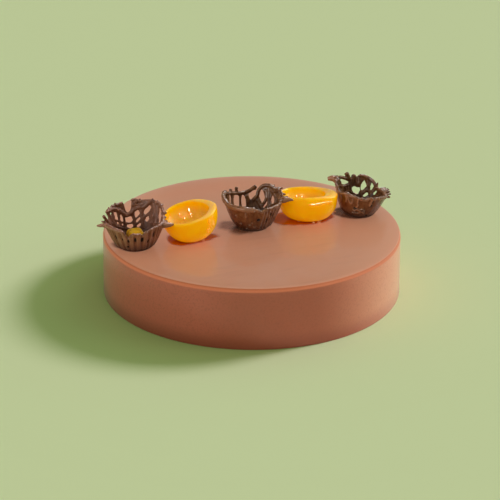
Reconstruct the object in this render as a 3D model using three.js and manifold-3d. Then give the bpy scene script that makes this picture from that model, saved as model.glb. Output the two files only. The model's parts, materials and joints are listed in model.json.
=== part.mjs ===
// Apricot cake: a round cake under milk chocolate glaze, with a row of chocolate lace baskets
// and glazed apricot halves across its top.
// Millimetres, +Z up, +X along the row of toppings, origin at the centre of the cake's flat base.

import * as THREE from 'three';
import { mergeVertices } from 'three/addons/utils/BufferGeometryUtils.js';
import ManifoldModule from 'manifold-3d';

// Cake
const CAKE_RADIUS = 120;
const CAKE_HEIGHT = 50;
const CAKE_SHOULDER = 3; // radius of the rounded top edge
const CAKE_SHOULDER_STEPS = 4;
const CAKE_FOOT_SPREAD = 0.8; // how much wider the foot is than the shoulder
const CAKE_SEGMENTS = 96;

// How the toppings stand on the cake
const REST_GAP = 0.3; // clear space under a topping
const TOPPING_SINK = 0.6; // how far a topping is pressed flat where it rests
const FACING = -22.4; // degrees that the front of every topping is turned from the row
const TRIM_SLAB = 100; // side of the block that trims a topping flat

// Chocolate lace baskets: a bowl that flares from a small foot, closed below and open lace above
const BASKET_FOOT_RADIUS = 9.5;
const BASKET_HEIGHT = 25;
const BASKET_FLARE = 0.5; // power of the wall's curve
const BASKET_WALL = 2.6;
const BASKET_FLOOR = 3;
const BASKET_SEGMENTS = 28;
const CUP_OUTER_STEPS = 4;
const CUP_OUTER_SPREAD = 1.4; // power that crowds the outer steps towards the foot
const CUP_INNER_STEPS = 3;
const CUP_BACK_COSINE = -0.6; // the closed cup is at its back height where cos(azimuth) is below this
const CUP_FRONT_COSINE = 0.2; // and at its front height above this
const NOTCH_FLAT_SHARE = 0.5; // share of a notch's width that has its full depth
const STRAND_SIDES = 5;
const STRAND_STEP = 8; // longest straight stretch of a strand
const STRAND_STEPS_PER_LEG = 1.5;
const SPIKE_SIDES = 5;
const SPIKE_TIP_SHARE = 0.35; // tip thickness over root thickness
const SLIT_SIDES = 6;
const SLIT_REACH = 10; // length of a slit's cutter through the wall

// Apricot halves, cut face up, with the hollow of the stone
const APRICOT_SEGMENTS = 28;
const APRICOT_ROUNDNESS = 2.2; // power of the outer curve, 2 for an ellipse
const APRICOT_OUTER_STEPS = 9;
const APRICOT_LIP_STEPS = 4;
const APRICOT_HOLLOW_STEPS = 6;

// Piece of yellow fruit in the left basket
const FRUIT_WIDTH = 13;
const FRUIT_DEPTH = 11;
const FRUIT_HEIGHT = 12;
const FRUIT_CORNER_POWER = 0.72; // 1 for an ellipsoid, smaller for a squarer lump
const FRUIT_TURN = 20;
const FRUIT_FORWARD = 2; // from the basket's axis towards its front
const FRUIT_DETAIL = 2; // times the lump's faces are divided

const FINISHES = {
  glaze: { color: 0xb98668, roughness: 0.35 },
  chocolate: { color: 0x4a2d20, roughness: 0.3 },
  apricot: { color: 0xe29302, roughness: 0.15 },
  fruit: { color: 0xc8a532, roughness: 0.3 },
};

// A strand follows the bowl's wall through azimuths (degrees, 0 front, 90 right) and wall heights
const strand = (girth, ...route) => ({ girth, route });

// A spike leaves the wall at an azimuth and height, and heads off along its own azimuth
const spike = (girth, azimuth, height, heading, length, rise) => {
  return { girth, azimuth, height, heading, length, rise };
};

// A slit is a slot through the wall, centred on an azimuth and height
const slit = (azimuth, height, width, tall) => ({ azimuth, height, width, tall });

const BASKETS = [
  {
    name: 'basket_left',
    along: -98.4,
    across: 0.5,
    leanForward: 7,
    leanRight: -2,
    rimRadius: 24,
    cup: { front: 24.5, back: 8.5, notch: { azimuth: 3, halfWidth: 22, depth: 5 } },
    strands: [
      // Wavy rim strand with its dip at the back, and the lobes above it
      strand(4.2, [266, 19], [243, 23.6], [225, 25.2], [211, 22.6], [197, 18], [184, 21.6], [168, 24]),
      strand(3.2, [240, 25], [222, 27], [206, 26.6]),
      strand(3.4, [192, 25.4], [182, 27.8], [168, 27]),
      strand(5, [188, 24], [168, 25], [146, 26.6], [126, 27]),
      strand(3.6, [186, 20.8], [168, 22], [152, 24.6]),
      strand(3, [130, 27.4], [110, 27.6], [96, 25.4], [86, 18]),
      // Upright ribs, the broad ones at the right
      strand(4.8, [124, 6], [124, 17], [125, 26.6]),
      strand(4.6, [137, 6], [137, 17], [139, 26]),
      strand(3, [186, 6], [184, 15], [182, 23]),
      strand(2.6, [207, 6], [208, 15], [211, 22.5]),
      strand(2.4, [223, 8], [219, 24.5]),
      strand(2.4, [241, 10], [233, 24]),
      strand(2.2, [256, 13], [251, 22]),
      // Slanting strands and the thin sagging arcs
      strand(3.2, [188, 6.5], [166, 17], [150, 26]),
      strand(3, [178, 7], [159, 14.8], [139, 20.5]),
      strand(4.6, [168, 6.5], [154, 10.6], [138, 12.6]),
      strand(1.8, [238, 18], [216, 13.2], [197, 11.8], [183, 13.4], [168, 18]),
      strand(2.2, [246, 14], [222, 10], [204, 7.6], [186, 7]),
    ],
    spikes: [
      spike(3.6, 56, 22.6, 86, 15.5, 2.6),
      spike(2.8, 271, 19.6, 268, 8, -1),
      spike(2, 262, 20, 240, 5, 1.5),
      spike(2, 96, 26, 84, 5, 0.3),
      spike(2, 92, 22.6, 80, 5.5, 0.8),
    ],
    slits: [
      slit(-45, 16, 1.2, 4.5),
      slit(-28, 13, 1.1, 4),
      slit(-10, 15.5, 1.3, 4),
      slit(6, 15.5, 1.3, 4),
      slit(22, 15, 2.2, 5),
      slit(38, 12.5, 1.1, 4),
      slit(54, 17, 1.3, 5),
    ],
  },
  {
    name: 'basket_middle',
    along: 1.8,
    across: 3.8,
    leanForward: 1,
    leanRight: 1.5,
    rimRadius: 24.4,
    cup: { front: 24.5, back: 9.5, notch: { azimuth: 22, halfWidth: 12, depth: 1.6 } },
    strands: [
      // Rim strand that sags across the back left, with stubs on it
      strand(3.2, [280, 25.4], [254, 23.2], [230, 20.8], [207, 19.6], [190, 20.8], [178, 23.2], [169, 25.8]),
      strand(2.4, [214, 20], [217, 25.2]),
      strand(2.4, [228, 20.8], [231, 25]),
      strand(2.4, [245, 22.6], [247, 26]),
      // Three upright ribs below it
      strand(3, [191, 7], [190, 14], [191, 20.6]),
      strand(2.6, [209, 7], [208, 19.4]),
      strand(2.6, [222, 8], [231, 20.6]),
      strand(3.6, [258, 16], [256, 23]),
      // Broad upright strand, the loop from its top and the dark mass at the right
      strand(3.8, [168, 7], [167, 16], [165, 27]),
      strand(3.4, [165, 26.4], [152, 27.8], [136, 27], [116, 25.4], [100, 24.6], [84, 21]),
      strand(4, [137, 16.5], [146, 21.5], [151, 26.5]),
      strand(4.4, [133, 18], [136, 22], [138, 26]),
      strand(4.6, [110, 13], [110, 24.4]),
      strand(4.4, [142, 24.4], [124, 24.4], [108, 23]),
      strand(3.4, [134, 14.4], [120, 14.4], [106, 15]),
      // Slanting strands and the small arch at the foot of the lace
      strand(2.6, [150, 6], [145, 11.5], [138, 18]),
      strand(2.4, [142, 6], [137, 12], [134, 18]),
      strand(3, [196, 12.6], [180, 13.8], [166, 12.8]),
      strand(1.8, [187, 7], [180, 15], [172, 7]),
    ],
    spikes: [spike(4.4, 88, 24.2, 80, 10.5, 1.8), spike(1.8, 84, 23, 100, 5, 2)],
    slits: [slit(18, 14, 1.8, 2.6), slit(47, 16.5, 1.1, 4.5), slit(40, 11, 1, 3)],
  },
  {
    name: 'basket_right',
    along: 93.5,
    across: -0.2,
    leanForward: 2,
    leanRight: 9,
    rimRadius: 22.8,
    cup: { front: 23.4, back: 9, notch: { azimuth: -32, halfWidth: 14, depth: 1.5 } },
    strands: [
      // Rim from the left corner to the loops at the back, then falling to the right
      strand(3.4, [286, 24], [264, 26.4], [244, 25.6], [228, 23.6], [212, 22.4], [202, 23]),
      strand(3.4, [208, 21], [215, 24], [215, 26]),
      strand(3, [203, 24], [192, 24.8], [180, 24.2], [166, 24.8], [152, 23], [140, 20.4]),
      strand(3.6, [196, 21.6], [180, 22], [164, 22.6], [150, 20.6]),
      strand(3.4, [143, 21], [127, 18.8], [108, 19.6], [86, 18.8]),
      // Upright ribs
      strand(4, [205, 6], [205, 15], [204, 24]),
      strand(3.4, [193, 16], [193, 24.4]),
      strand(3.4, [182, 16], [183, 24]),
      strand(2.6, [177, 7], [177, 16], [179, 23]),
      strand(3.2, [156, 13], [159, 18], [158, 23.6]),
      strand(3.4, [136, 12], [140, 21]),
      strand(3.8, [242, 13], [246, 24.6]),
      strand(2.8, [222, 8], [221, 16]),
      // Cross strands between the windows
      strand(2.4, [204, 16.4], [190, 16.8], [176, 16]),
      strand(3.2, [250, 16.6], [230, 15.6], [208, 15.2]),
      strand(2.8, [180, 8.5], [166, 13], [152, 14.6], [134, 16.4]),
      strand(2.6, [164, 6.5], [150, 9], [138, 12], [120, 13.4]),
      strand(4, [122, 9], [118, 19]),
      strand(4, [106, 12], [104, 19]),
    ],
    spikes: [
      spike(3.8, 266, 25.4, 262, 9, -1),
      spike(2.4, 98, 18.6, 94, 6.5, 2.6),
      spike(2.4, 90, 18.4, 86, 7, 0.8),
      spike(2.2, 108, 19.2, 104, 5, 3.4),
      spike(1.8, 138, 20.6, 122, 3.6, 3),
    ],
    slits: [slit(27, 16, 1.3, 4), slit(-15, 10.5, 2.4, 1.2), slit(3, 10, 1.8, 1.2)],
  },
];

const APRICOTS = [
  {
    name: 'apricot_left',
    along: -55.6,
    across: -4.3,
    standing: 23.2,
    leanForward: 6.3,
    leanRight: -13,
    width: 45,
    depth: 41,
    height: 23.2,
    lip: 1.6,
    hollow: { width: 36, depth: 34, deep: 12, shiftRight: -2 },
  },
  {
    name: 'apricot_right',
    along: 50.4,
    across: 2.5,
    standing: 21.5,
    leanForward: -6.6,
    leanRight: -0.5,
    width: 48.4,
    depth: 40,
    height: 21.7,
    lip: 1.6,
    hollow: { width: 36, depth: 33, deep: 11, shiftRight: -4 },
  },
];

const radians = THREE.MathUtils.degToRad;

// Boolean joins and cuts

const wasm = await ManifoldModule();
wasm.setup();

function toSolid(geometry) {
  const bare = geometry.clone();
  bare.deleteAttribute('normal');
  bare.deleteAttribute('uv');
  const merged = mergeVertices(bare);
  const corners = [];
  const index = merged.index.array;
  for (let i = 0; i < index.length; i += 3) {
    const [a, b, c] = index.slice(i, i + 3);
    if (a !== b && b !== c && c !== a) {
      corners.push(a, b, c);
    }
  }
  const vertProperties = new Float32Array(merged.attributes.position.array);
  const triVerts = new Uint32Array(corners);
  return new wasm.Manifold(new wasm.Mesh({ numProp: 3, vertProperties, triVerts }));
}

function toGeometry(solid) {
  const { vertProperties, triVerts } = solid.getMesh();
  const geometry = new THREE.BufferGeometry();
  geometry.setAttribute('position', new THREE.BufferAttribute(vertProperties, 3));
  geometry.setIndex(new THREE.BufferAttribute(triVerts, 1));
  geometry.computeVertexNormals();
  return geometry;
}

// Everything below the level where toppings rest, in the frame of a placed mesh
function levelBelow(mesh) {
  const box = new THREE.BoxGeometry(TRIM_SLAB, TRIM_SLAB, TRIM_SLAB);
  const level = CAKE_HEIGHT + REST_GAP;
  box.translate(mesh.position.x, mesh.position.y, level - TRIM_SLAB / 2);
  mesh.updateMatrix();
  return toSolid(box.applyMatrix4(mesh.matrix.clone().invert()));
}

// Turned shapes

function turned(profile, segments) {
  const points = profile.map(([radius, height]) => new THREE.Vector2(radius, height));
  // The lathe turns about Y from +Z; standing it up puts azimuth 0 at the front and 90 at the right
  return new THREE.LatheGeometry(points, segments).rotateX(Math.PI / 2);
}

function eachVertex(geometry, change) {
  const position = geometry.attributes.position;
  const point = new THREE.Vector3();
  for (let i = 0; i < position.count; i += 1) {
    point.fromBufferAttribute(position, i);
    change(point);
    position.setXYZ(i, point.x, point.y, point.z);
  }
  return geometry;
}

const azimuthOf = (point) => Math.atan2(point.x, -point.y);

function fromAzimuth(azimuth, radius, height) {
  const angle = radians(azimuth);
  return new THREE.Vector3(radius * Math.sin(angle), -radius * Math.cos(angle), height);
}

// Cake

function cakeGeometry() {
  const profile = [
    [0, 0],
    [CAKE_RADIUS + CAKE_FOOT_SPREAD, 0],
  ];
  for (let i = 0; i <= CAKE_SHOULDER_STEPS; i += 1) {
    const turn = (i / CAKE_SHOULDER_STEPS) * (Math.PI / 2);
    const radius = CAKE_RADIUS - CAKE_SHOULDER * (1 - Math.cos(turn));
    profile.push([radius, CAKE_HEIGHT - CAKE_SHOULDER * (1 - Math.sin(turn))]);
  }
  profile.push([0, CAKE_HEIGHT]);
  return turned(profile, CAKE_SEGMENTS);
}

// Baskets

function wallRadius(rimRadius, height) {
  const rise = Math.max(height, 0) / BASKET_HEIGHT;
  return BASKET_FOOT_RADIUS + (rimRadius - BASKET_FOOT_RADIUS) * rise ** BASKET_FLARE;
}

// Height of the closed cup's edge: high at the front, low at the back, with one notch
function cupTop({ front, back, notch }, angle) {
  const share = THREE.MathUtils.smoothstep(Math.cos(angle), CUP_BACK_COSINE, CUP_FRONT_COSINE);
  const offset = Math.abs(THREE.MathUtils.radToDeg(angle) - notch.azimuth) / notch.halfWidth;
  const dip = notch.depth * (1 - THREE.MathUtils.smoothstep(offset, NOTCH_FLAT_SHARE, 1));
  return back + (front - back) * share - dip;
}

function cupGeometry({ rimRadius, cup }) {
  const profile = [[0, 0]];
  for (let i = 0; i <= CUP_OUTER_STEPS; i += 1) {
    const height = BASKET_HEIGHT * (i / CUP_OUTER_STEPS) ** CUP_OUTER_SPREAD;
    profile.push([wallRadius(rimRadius, height), height]);
  }
  for (let i = CUP_INNER_STEPS; i >= 0; i -= 1) {
    const height = BASKET_FLOOR + (BASKET_HEIGHT - BASKET_FLOOR) * (i / CUP_INNER_STEPS);
    profile.push([wallRadius(rimRadius, height) - BASKET_WALL, height]);
  }
  profile.push([0, BASKET_FLOOR]);
  return eachVertex(turned(profile, BASKET_SEGMENTS), (point) => {
    const radius = Math.hypot(point.x, point.y);
    if (radius === 0 || point.z <= BASKET_FLOOR) {
      return;
    }
    const angle = azimuthOf(point);
    const inset = wallRadius(rimRadius, point.z) - radius;
    const share = (point.z - BASKET_FLOOR) / (BASKET_HEIGHT - BASKET_FLOOR);
    const height = BASKET_FLOOR + (cupTop(cup, angle) - BASKET_FLOOR) * share;
    const scale = (wallRadius(rimRadius, height) - inset) / radius;
    point.set(point.x * scale, point.y * scale, height);
  });
}

// Centre line of a strand whose outer side is flush with the bowl's outer wall
class WallCurve extends THREE.Curve {
  constructor(rimRadius, { girth, route }) {
    super();
    this.rimRadius = rimRadius;
    this.girth = girth;
    this.plan = new THREE.SplineCurve(route.map((stop) => new THREE.Vector2(...stop)));
  }

  getPoint(share, target = new THREE.Vector3()) {
    const { x: azimuth, y: height } = this.plan.getPoint(share);
    const radius = wallRadius(this.rimRadius, height) - this.girth / 2;
    return target.copy(fromAzimuth(azimuth, radius, height));
  }
}

function strandGeometry(rimRadius, piece) {
  const path = new WallCurve(rimRadius, piece);
  const corners = [];
  for (let i = 0; i < STRAND_SIDES; i += 1) {
    const turn = (i / STRAND_SIDES) * 2 * Math.PI;
    corners.push(new THREE.Vector2(Math.cos(turn), Math.sin(turn)).multiplyScalar(piece.girth / 2));
  }
  const stepsForCurve = Math.ceil(STRAND_STEPS_PER_LEG * (piece.route.length - 1));
  const stepsForLength = Math.ceil(path.getLength() / STRAND_STEP);
  const steps = Math.max(stepsForCurve, stepsForLength);
  const section = new THREE.Shape(corners);
  return new THREE.ExtrudeGeometry(section, { extrudePath: path, steps, bevelEnabled: false });
}

function spikeGeometry(rimRadius, { girth, azimuth, height, heading, length, rise }) {
  const root = fromAzimuth(azimuth, wallRadius(rimRadius, height) - girth / 2, height);
  const way = fromAzimuth(heading, length, rise);
  const span = way.length();
  const taper = new THREE.CylinderGeometry((girth / 2) * SPIKE_TIP_SHARE, girth / 2, span, SPIKE_SIDES);
  taper.translate(0, span / 2, 0);
  const turn = new THREE.Quaternion().setFromUnitVectors(new THREE.Vector3(0, 1, 0), way.normalize());
  return taper.applyQuaternion(turn).translate(root.x, root.y, root.z);
}

function slitGeometry(rimRadius, { azimuth, height, width, tall }) {
  const cutter = new THREE.CylinderGeometry(0.5, 0.5, SLIT_REACH, SLIT_SIDES);
  cutter.scale(width, 1, tall).rotateZ(radians(azimuth));
  const centre = fromAzimuth(azimuth, wallRadius(rimRadius, height) - BASKET_WALL / 2, height);
  return cutter.translate(centre.x, centre.y, centre.z);
}

function basketSolid(basket) {
  let solid = toSolid(cupGeometry(basket));
  for (const piece of basket.slits) {
    solid = solid.subtract(toSolid(slitGeometry(basket.rimRadius, piece)));
  }
  for (const piece of basket.strands) {
    solid = solid.add(toSolid(strandGeometry(basket.rimRadius, piece)));
  }
  for (const piece of basket.spikes) {
    solid = solid.add(toSolid(spikeGeometry(basket.rimRadius, piece)));
  }
  return solid;
}

// Apricot halves

// The centre of the cut face is the origin: the skin curves down from there, the lip stands above
function apricotGeometry({ width, depth, height, lip, hollow }) {
  const radius = width / 2;
  const mouth = hollow.width / 2;
  const lipHalf = (radius - mouth) / 2;
  const power = 2 / APRICOT_ROUNDNESS;
  const profile = [[0, -height]];
  for (let i = 1; i <= APRICOT_OUTER_STEPS; i += 1) {
    const turn = (i / APRICOT_OUTER_STEPS) * (Math.PI / 2);
    profile.push([radius * Math.sin(turn) ** power, -height * Math.cos(turn) ** power]);
  }
  const skinPoints = profile.length;
  for (let i = 1; i < APRICOT_LIP_STEPS; i += 1) {
    const turn = (i / APRICOT_LIP_STEPS) * Math.PI;
    profile.push([radius - lipHalf * (1 - Math.cos(turn)), lip * Math.sin(turn)]);
  }
  for (let i = 0; i < APRICOT_HOLLOW_STEPS; i += 1) {
    const turn = (i / APRICOT_HOLLOW_STEPS) * (Math.PI / 2);
    profile.push([mouth * Math.cos(turn), -hollow.deep * Math.sin(turn)]);
  }
  profile.push([0, -hollow.deep]);
  const half = turned(profile, APRICOT_SEGMENTS);
  // The lathe lists its vertices column by column, each column in the order of the profile
  let vertex = 0;
  return eachVertex(half, (point) => {
    const inside = vertex % profile.length >= skinPoints;
    const reach = Math.hypot(point.x, point.y);
    const share = inside ? THREE.MathUtils.smoothstep(radius - reach, 0, radius - mouth) : 0;
    const squash = THREE.MathUtils.lerp(depth / width, hollow.depth / hollow.width, share);
    point.set(point.x + hollow.shiftRight * share, point.y * squash, point.z);
    vertex += 1;
  });
}

// Piece of fruit

function fruitGeometry() {
  const lump = new THREE.IcosahedronGeometry(1, FRUIT_DETAIL);
  eachVertex(lump, (point) => {
    const squared = (value) => Math.sign(value) * Math.abs(value) ** FRUIT_CORNER_POWER;
    point.set(squared(point.x), squared(point.y), squared(point.z));
  });
  lump.scale(FRUIT_WIDTH / 2, FRUIT_DEPTH / 2, FRUIT_HEIGHT / 2);
  return lump.rotateZ(radians(FRUIT_TURN));
}

// Assembly

function placeTopping(mesh, { name, along, across, standing = REST_GAP, leanForward, leanRight }) {
  mesh.name = name;
  mesh.position.set(along, across, CAKE_HEIGHT + standing - TOPPING_SINK);
  mesh.rotation.set(radians(leanForward), radians(leanRight), radians(FACING), 'ZYX');
  mesh.updateMatrix();
}

function toppingMesh(solid, material, place) {
  const mesh = new THREE.Mesh(undefined, material);
  placeTopping(mesh, place);
  mesh.geometry = toGeometry(solid.subtract(levelBelow(mesh)));
  return mesh;
}

const glaze = new THREE.MeshStandardMaterial(FINISHES.glaze);
const cake = new THREE.Mesh(cakeGeometry(), glaze);
cake.name = 'cake';

const part = new THREE.Group();
part.name = 'apricot_cake';
part.add(cake);

const chocolate = new THREE.MeshStandardMaterial(FINISHES.chocolate);
for (const basket of BASKETS) {
  part.add(toppingMesh(basketSolid(basket), chocolate, basket));
}

const apricot = new THREE.MeshStandardMaterial(FINISHES.apricot);
for (const half of APRICOTS) {
  part.add(toppingMesh(toSolid(apricotGeometry(half)), apricot, half));
}

const [leftBasket] = BASKETS;
const fruit = new THREE.Mesh(fruitGeometry(), new THREE.MeshStandardMaterial(FINISHES.fruit));
placeTopping(fruit, { ...leftBasket, name: 'fruit_piece' });
fruit.translateY(-FRUIT_FORWARD);
fruit.translateZ(BASKET_FLOOR + REST_GAP + FRUIT_HEIGHT / 2);
part.add(fruit);

export default part;
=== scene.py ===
"""Looks of the apricot cake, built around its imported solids.

Shapes are modelled in millimetres in the part's own frame: origin at the centre of the cake's flat foot,
+Z up and +X along the row of toppings. Each mesh is scaled to metres as its piece is finished.
"""

import json
import logging
import math
from collections.abc import Callable, Mapping, Sequence
from dataclasses import dataclass
from enum import Enum
from typing import Any, NamedTuple

import bmesh
import bpy
from mathutils import Matrix, Vector, noise

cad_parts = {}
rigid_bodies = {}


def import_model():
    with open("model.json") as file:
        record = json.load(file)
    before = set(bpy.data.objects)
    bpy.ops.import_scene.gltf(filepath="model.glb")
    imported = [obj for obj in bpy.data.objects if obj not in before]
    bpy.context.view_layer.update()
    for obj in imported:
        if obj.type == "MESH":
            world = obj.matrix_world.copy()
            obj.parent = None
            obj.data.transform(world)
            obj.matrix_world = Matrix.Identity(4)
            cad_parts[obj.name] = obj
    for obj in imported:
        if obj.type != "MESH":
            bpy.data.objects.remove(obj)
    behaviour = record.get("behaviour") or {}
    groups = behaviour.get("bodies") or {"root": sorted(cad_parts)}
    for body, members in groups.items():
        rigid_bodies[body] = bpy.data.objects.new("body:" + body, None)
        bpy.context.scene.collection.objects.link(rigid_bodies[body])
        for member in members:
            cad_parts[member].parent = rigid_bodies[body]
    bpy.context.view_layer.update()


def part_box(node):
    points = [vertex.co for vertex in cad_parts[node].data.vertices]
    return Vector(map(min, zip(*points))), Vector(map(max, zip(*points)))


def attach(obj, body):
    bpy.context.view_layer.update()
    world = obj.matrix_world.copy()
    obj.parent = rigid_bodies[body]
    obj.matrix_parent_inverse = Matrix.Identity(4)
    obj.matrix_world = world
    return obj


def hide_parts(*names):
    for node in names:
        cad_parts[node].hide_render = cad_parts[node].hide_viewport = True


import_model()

LOG = logging.getLogger("apricot_cake")

MM = 0.001
BODY = "root"
CAKE_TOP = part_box("cake")[1].z / MM  # height that the toppings stand on
FACING = -22.4  # degrees that the toppings' fronts and the camera are turned from the row
FRONT = Matrix.Rotation(math.radians(FACING), 4, "Z")
TOPPING_SINK = 0.6  # how far a topping is pressed into the glaze
TRIM_DEPTH = 0.05  # how far under the cake's top a topping is cut off
MERGE = 1e-4  # vertices closer than this become one
NOISE_SEED = 7  # vector noise starts from the clock unless it is seeded
UP = Vector((0.0, 0.0, 1.0))

# Names of pieces, or the starts of their names
CAKE_PIECE = "glazed_cake"
FLOOR_PIECE = "floor"
BASKET_PIECE = "chocolate"
DROPS_PIECE = "drops"

# Attributes that the finishes read
FILM_DEPTH = "film_depth"
# marks the cut face, and on the lip its painted highlight
CUT_FACE_AND_LIP_HIGHLIGHT = "cut_face"
SLIT_SHADE = "slit_shade"
# marks the painted highlight on the baskets' ridges
PAINTED_RIDGE_HIGHLIGHT = "ridge"

Colour = tuple[float, float, float, float]
Way = tuple[float, float, float]
Outline = tuple[tuple[float, float], ...]


class Slot(Enum):
    """Material slots of the record."""

    GLAZE = "glaze"
    CHOCOLATE = "chocolate"
    APRICOT = "apricot"
    FRUIT = "fruit"


# Small maths


def srgb(text: str) -> Colour:
    """Turns a colour as seen on a screen into a linear one.

    Args:
        text: Six hexadecimal digits, such as "b98668".

    Returns:
        Linear red, green, blue and an alpha of 1.
    """
    parts = [int(text[i : i + 2], 16) / 255 for i in (0, 2, 4)]
    linear = [c / 12.92 if c <= 0.04045 else ((c + 0.055) / 1.055) ** 2.4 for c in parts]
    return (*linear, 1.0)


def smoothstep(value: float, low: float, high: float) -> float:
    """Eases from 0 at low to 1 at high.

    Args:
        value: Where to read the curve.
        low: Start of the rise.
        high: End of the rise.

    Returns:
        The eased share.
    """
    share = min(max((value - low) / (high - low), 0.0), 1.0)
    return share * share * (3 - 2 * share)


def from_azimuth(azimuth: float, radius: float, height: float) -> Vector:
    """Places a point by its azimuth, with 0 at the front and 90 at the right.

    Args:
        azimuth: Degrees round the vertical axis.
        radius: Distance from the axis.
        height: Height on the axis.

    Returns:
        The point.
    """
    angle = math.radians(azimuth)
    return Vector((radius * math.sin(angle), -radius * math.cos(angle), height))


def azimuth_of(point: Vector) -> float:
    """Degrees of a point round the vertical axis, 0 at the front and 90 at the right."""
    return math.degrees(math.atan2(point.x, -point.y))


def between(
    ring: Sequence[tuple[float, ...]], azimuth: float
) -> tuple[tuple[float, ...], tuple[float, ...], float]:
    """Finds the two stops of a ring that an azimuth lies between.

    Args:
        ring: The stops in order, each with its azimuth first.
        azimuth: Degrees, 0 at the front.

    Returns:
        The stop before, the stop after, and the share of the way from one to the other.
    """
    turned = azimuth % 360
    first, last = ring[0], ring[-1]
    closed = ((last[0] - 360, *last[1:]), *ring, (first[0] + 360, *first[1:]))
    before, after = next((a, b) for a, b in zip(closed, closed[1:]) if a[0] <= turned <= b[0])
    return before, after, (turned - before[0]) / (after[0] - before[0])


def along_spline(stops: Sequence[tuple[float, ...]], share: float) -> Vector:
    """Reads a smooth curve through stops, the same one that the solids use.

    Args:
        stops: Points that the curve passes through.
        share: 0 at the first stop and 1 at the last.

    Returns:
        The point on the curve.
    """
    legs = len(stops) - 1
    leg = min(int(share * legs), legs - 1)
    t = share * legs - leg
    near = [Vector(stops[min(max(leg + k, 0), legs)]) for k in (-1, 0, 1, 2)]
    before, start, end, after = near
    leave = (end - before) / 2
    arrive = (after - start) / 2
    cubic = (2 * start - 2 * end + leave + arrive) * t**3
    square = (3 * end - 3 * start - 2 * leave - arrive) * t**2
    return cubic + square + leave * t + start


# Shader graphs


class Socket:
    """A value in a shader graph, which Python operators turn into Math nodes."""

    def __init__(self, graph: "ShaderGraph", link: bpy.types.NodeSocket) -> None:
        """Wraps a node's output."""
        self.graph = graph
        self.link = link

    def maths(self, operation: str, *values: "Socket | float") -> "Socket":
        """Adds a Math node.

        Args:
            operation: The Math node's operation.
            values: What goes into it, in order.

        Returns:
            Its result.
        """
        return self.graph.read("ShaderNodeMath", {"operation": operation}, dict(enumerate(values)))

    def __add__(self, other: "Socket | float") -> "Socket":
        """Sum of two values."""
        return self.maths("ADD", self, other)

    __radd__ = __add__

    def __sub__(self, other: "Socket | float") -> "Socket":
        """Difference of two values."""
        return self.maths("SUBTRACT", self, other)

    def __rsub__(self, other: float) -> "Socket":
        """Difference from a number."""
        return self.maths("SUBTRACT", other, self)

    def __mul__(self, other: "Socket | float") -> "Socket":
        """Product of two values."""
        return self.maths("MULTIPLY", self, other)

    __rmul__ = __mul__


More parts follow.
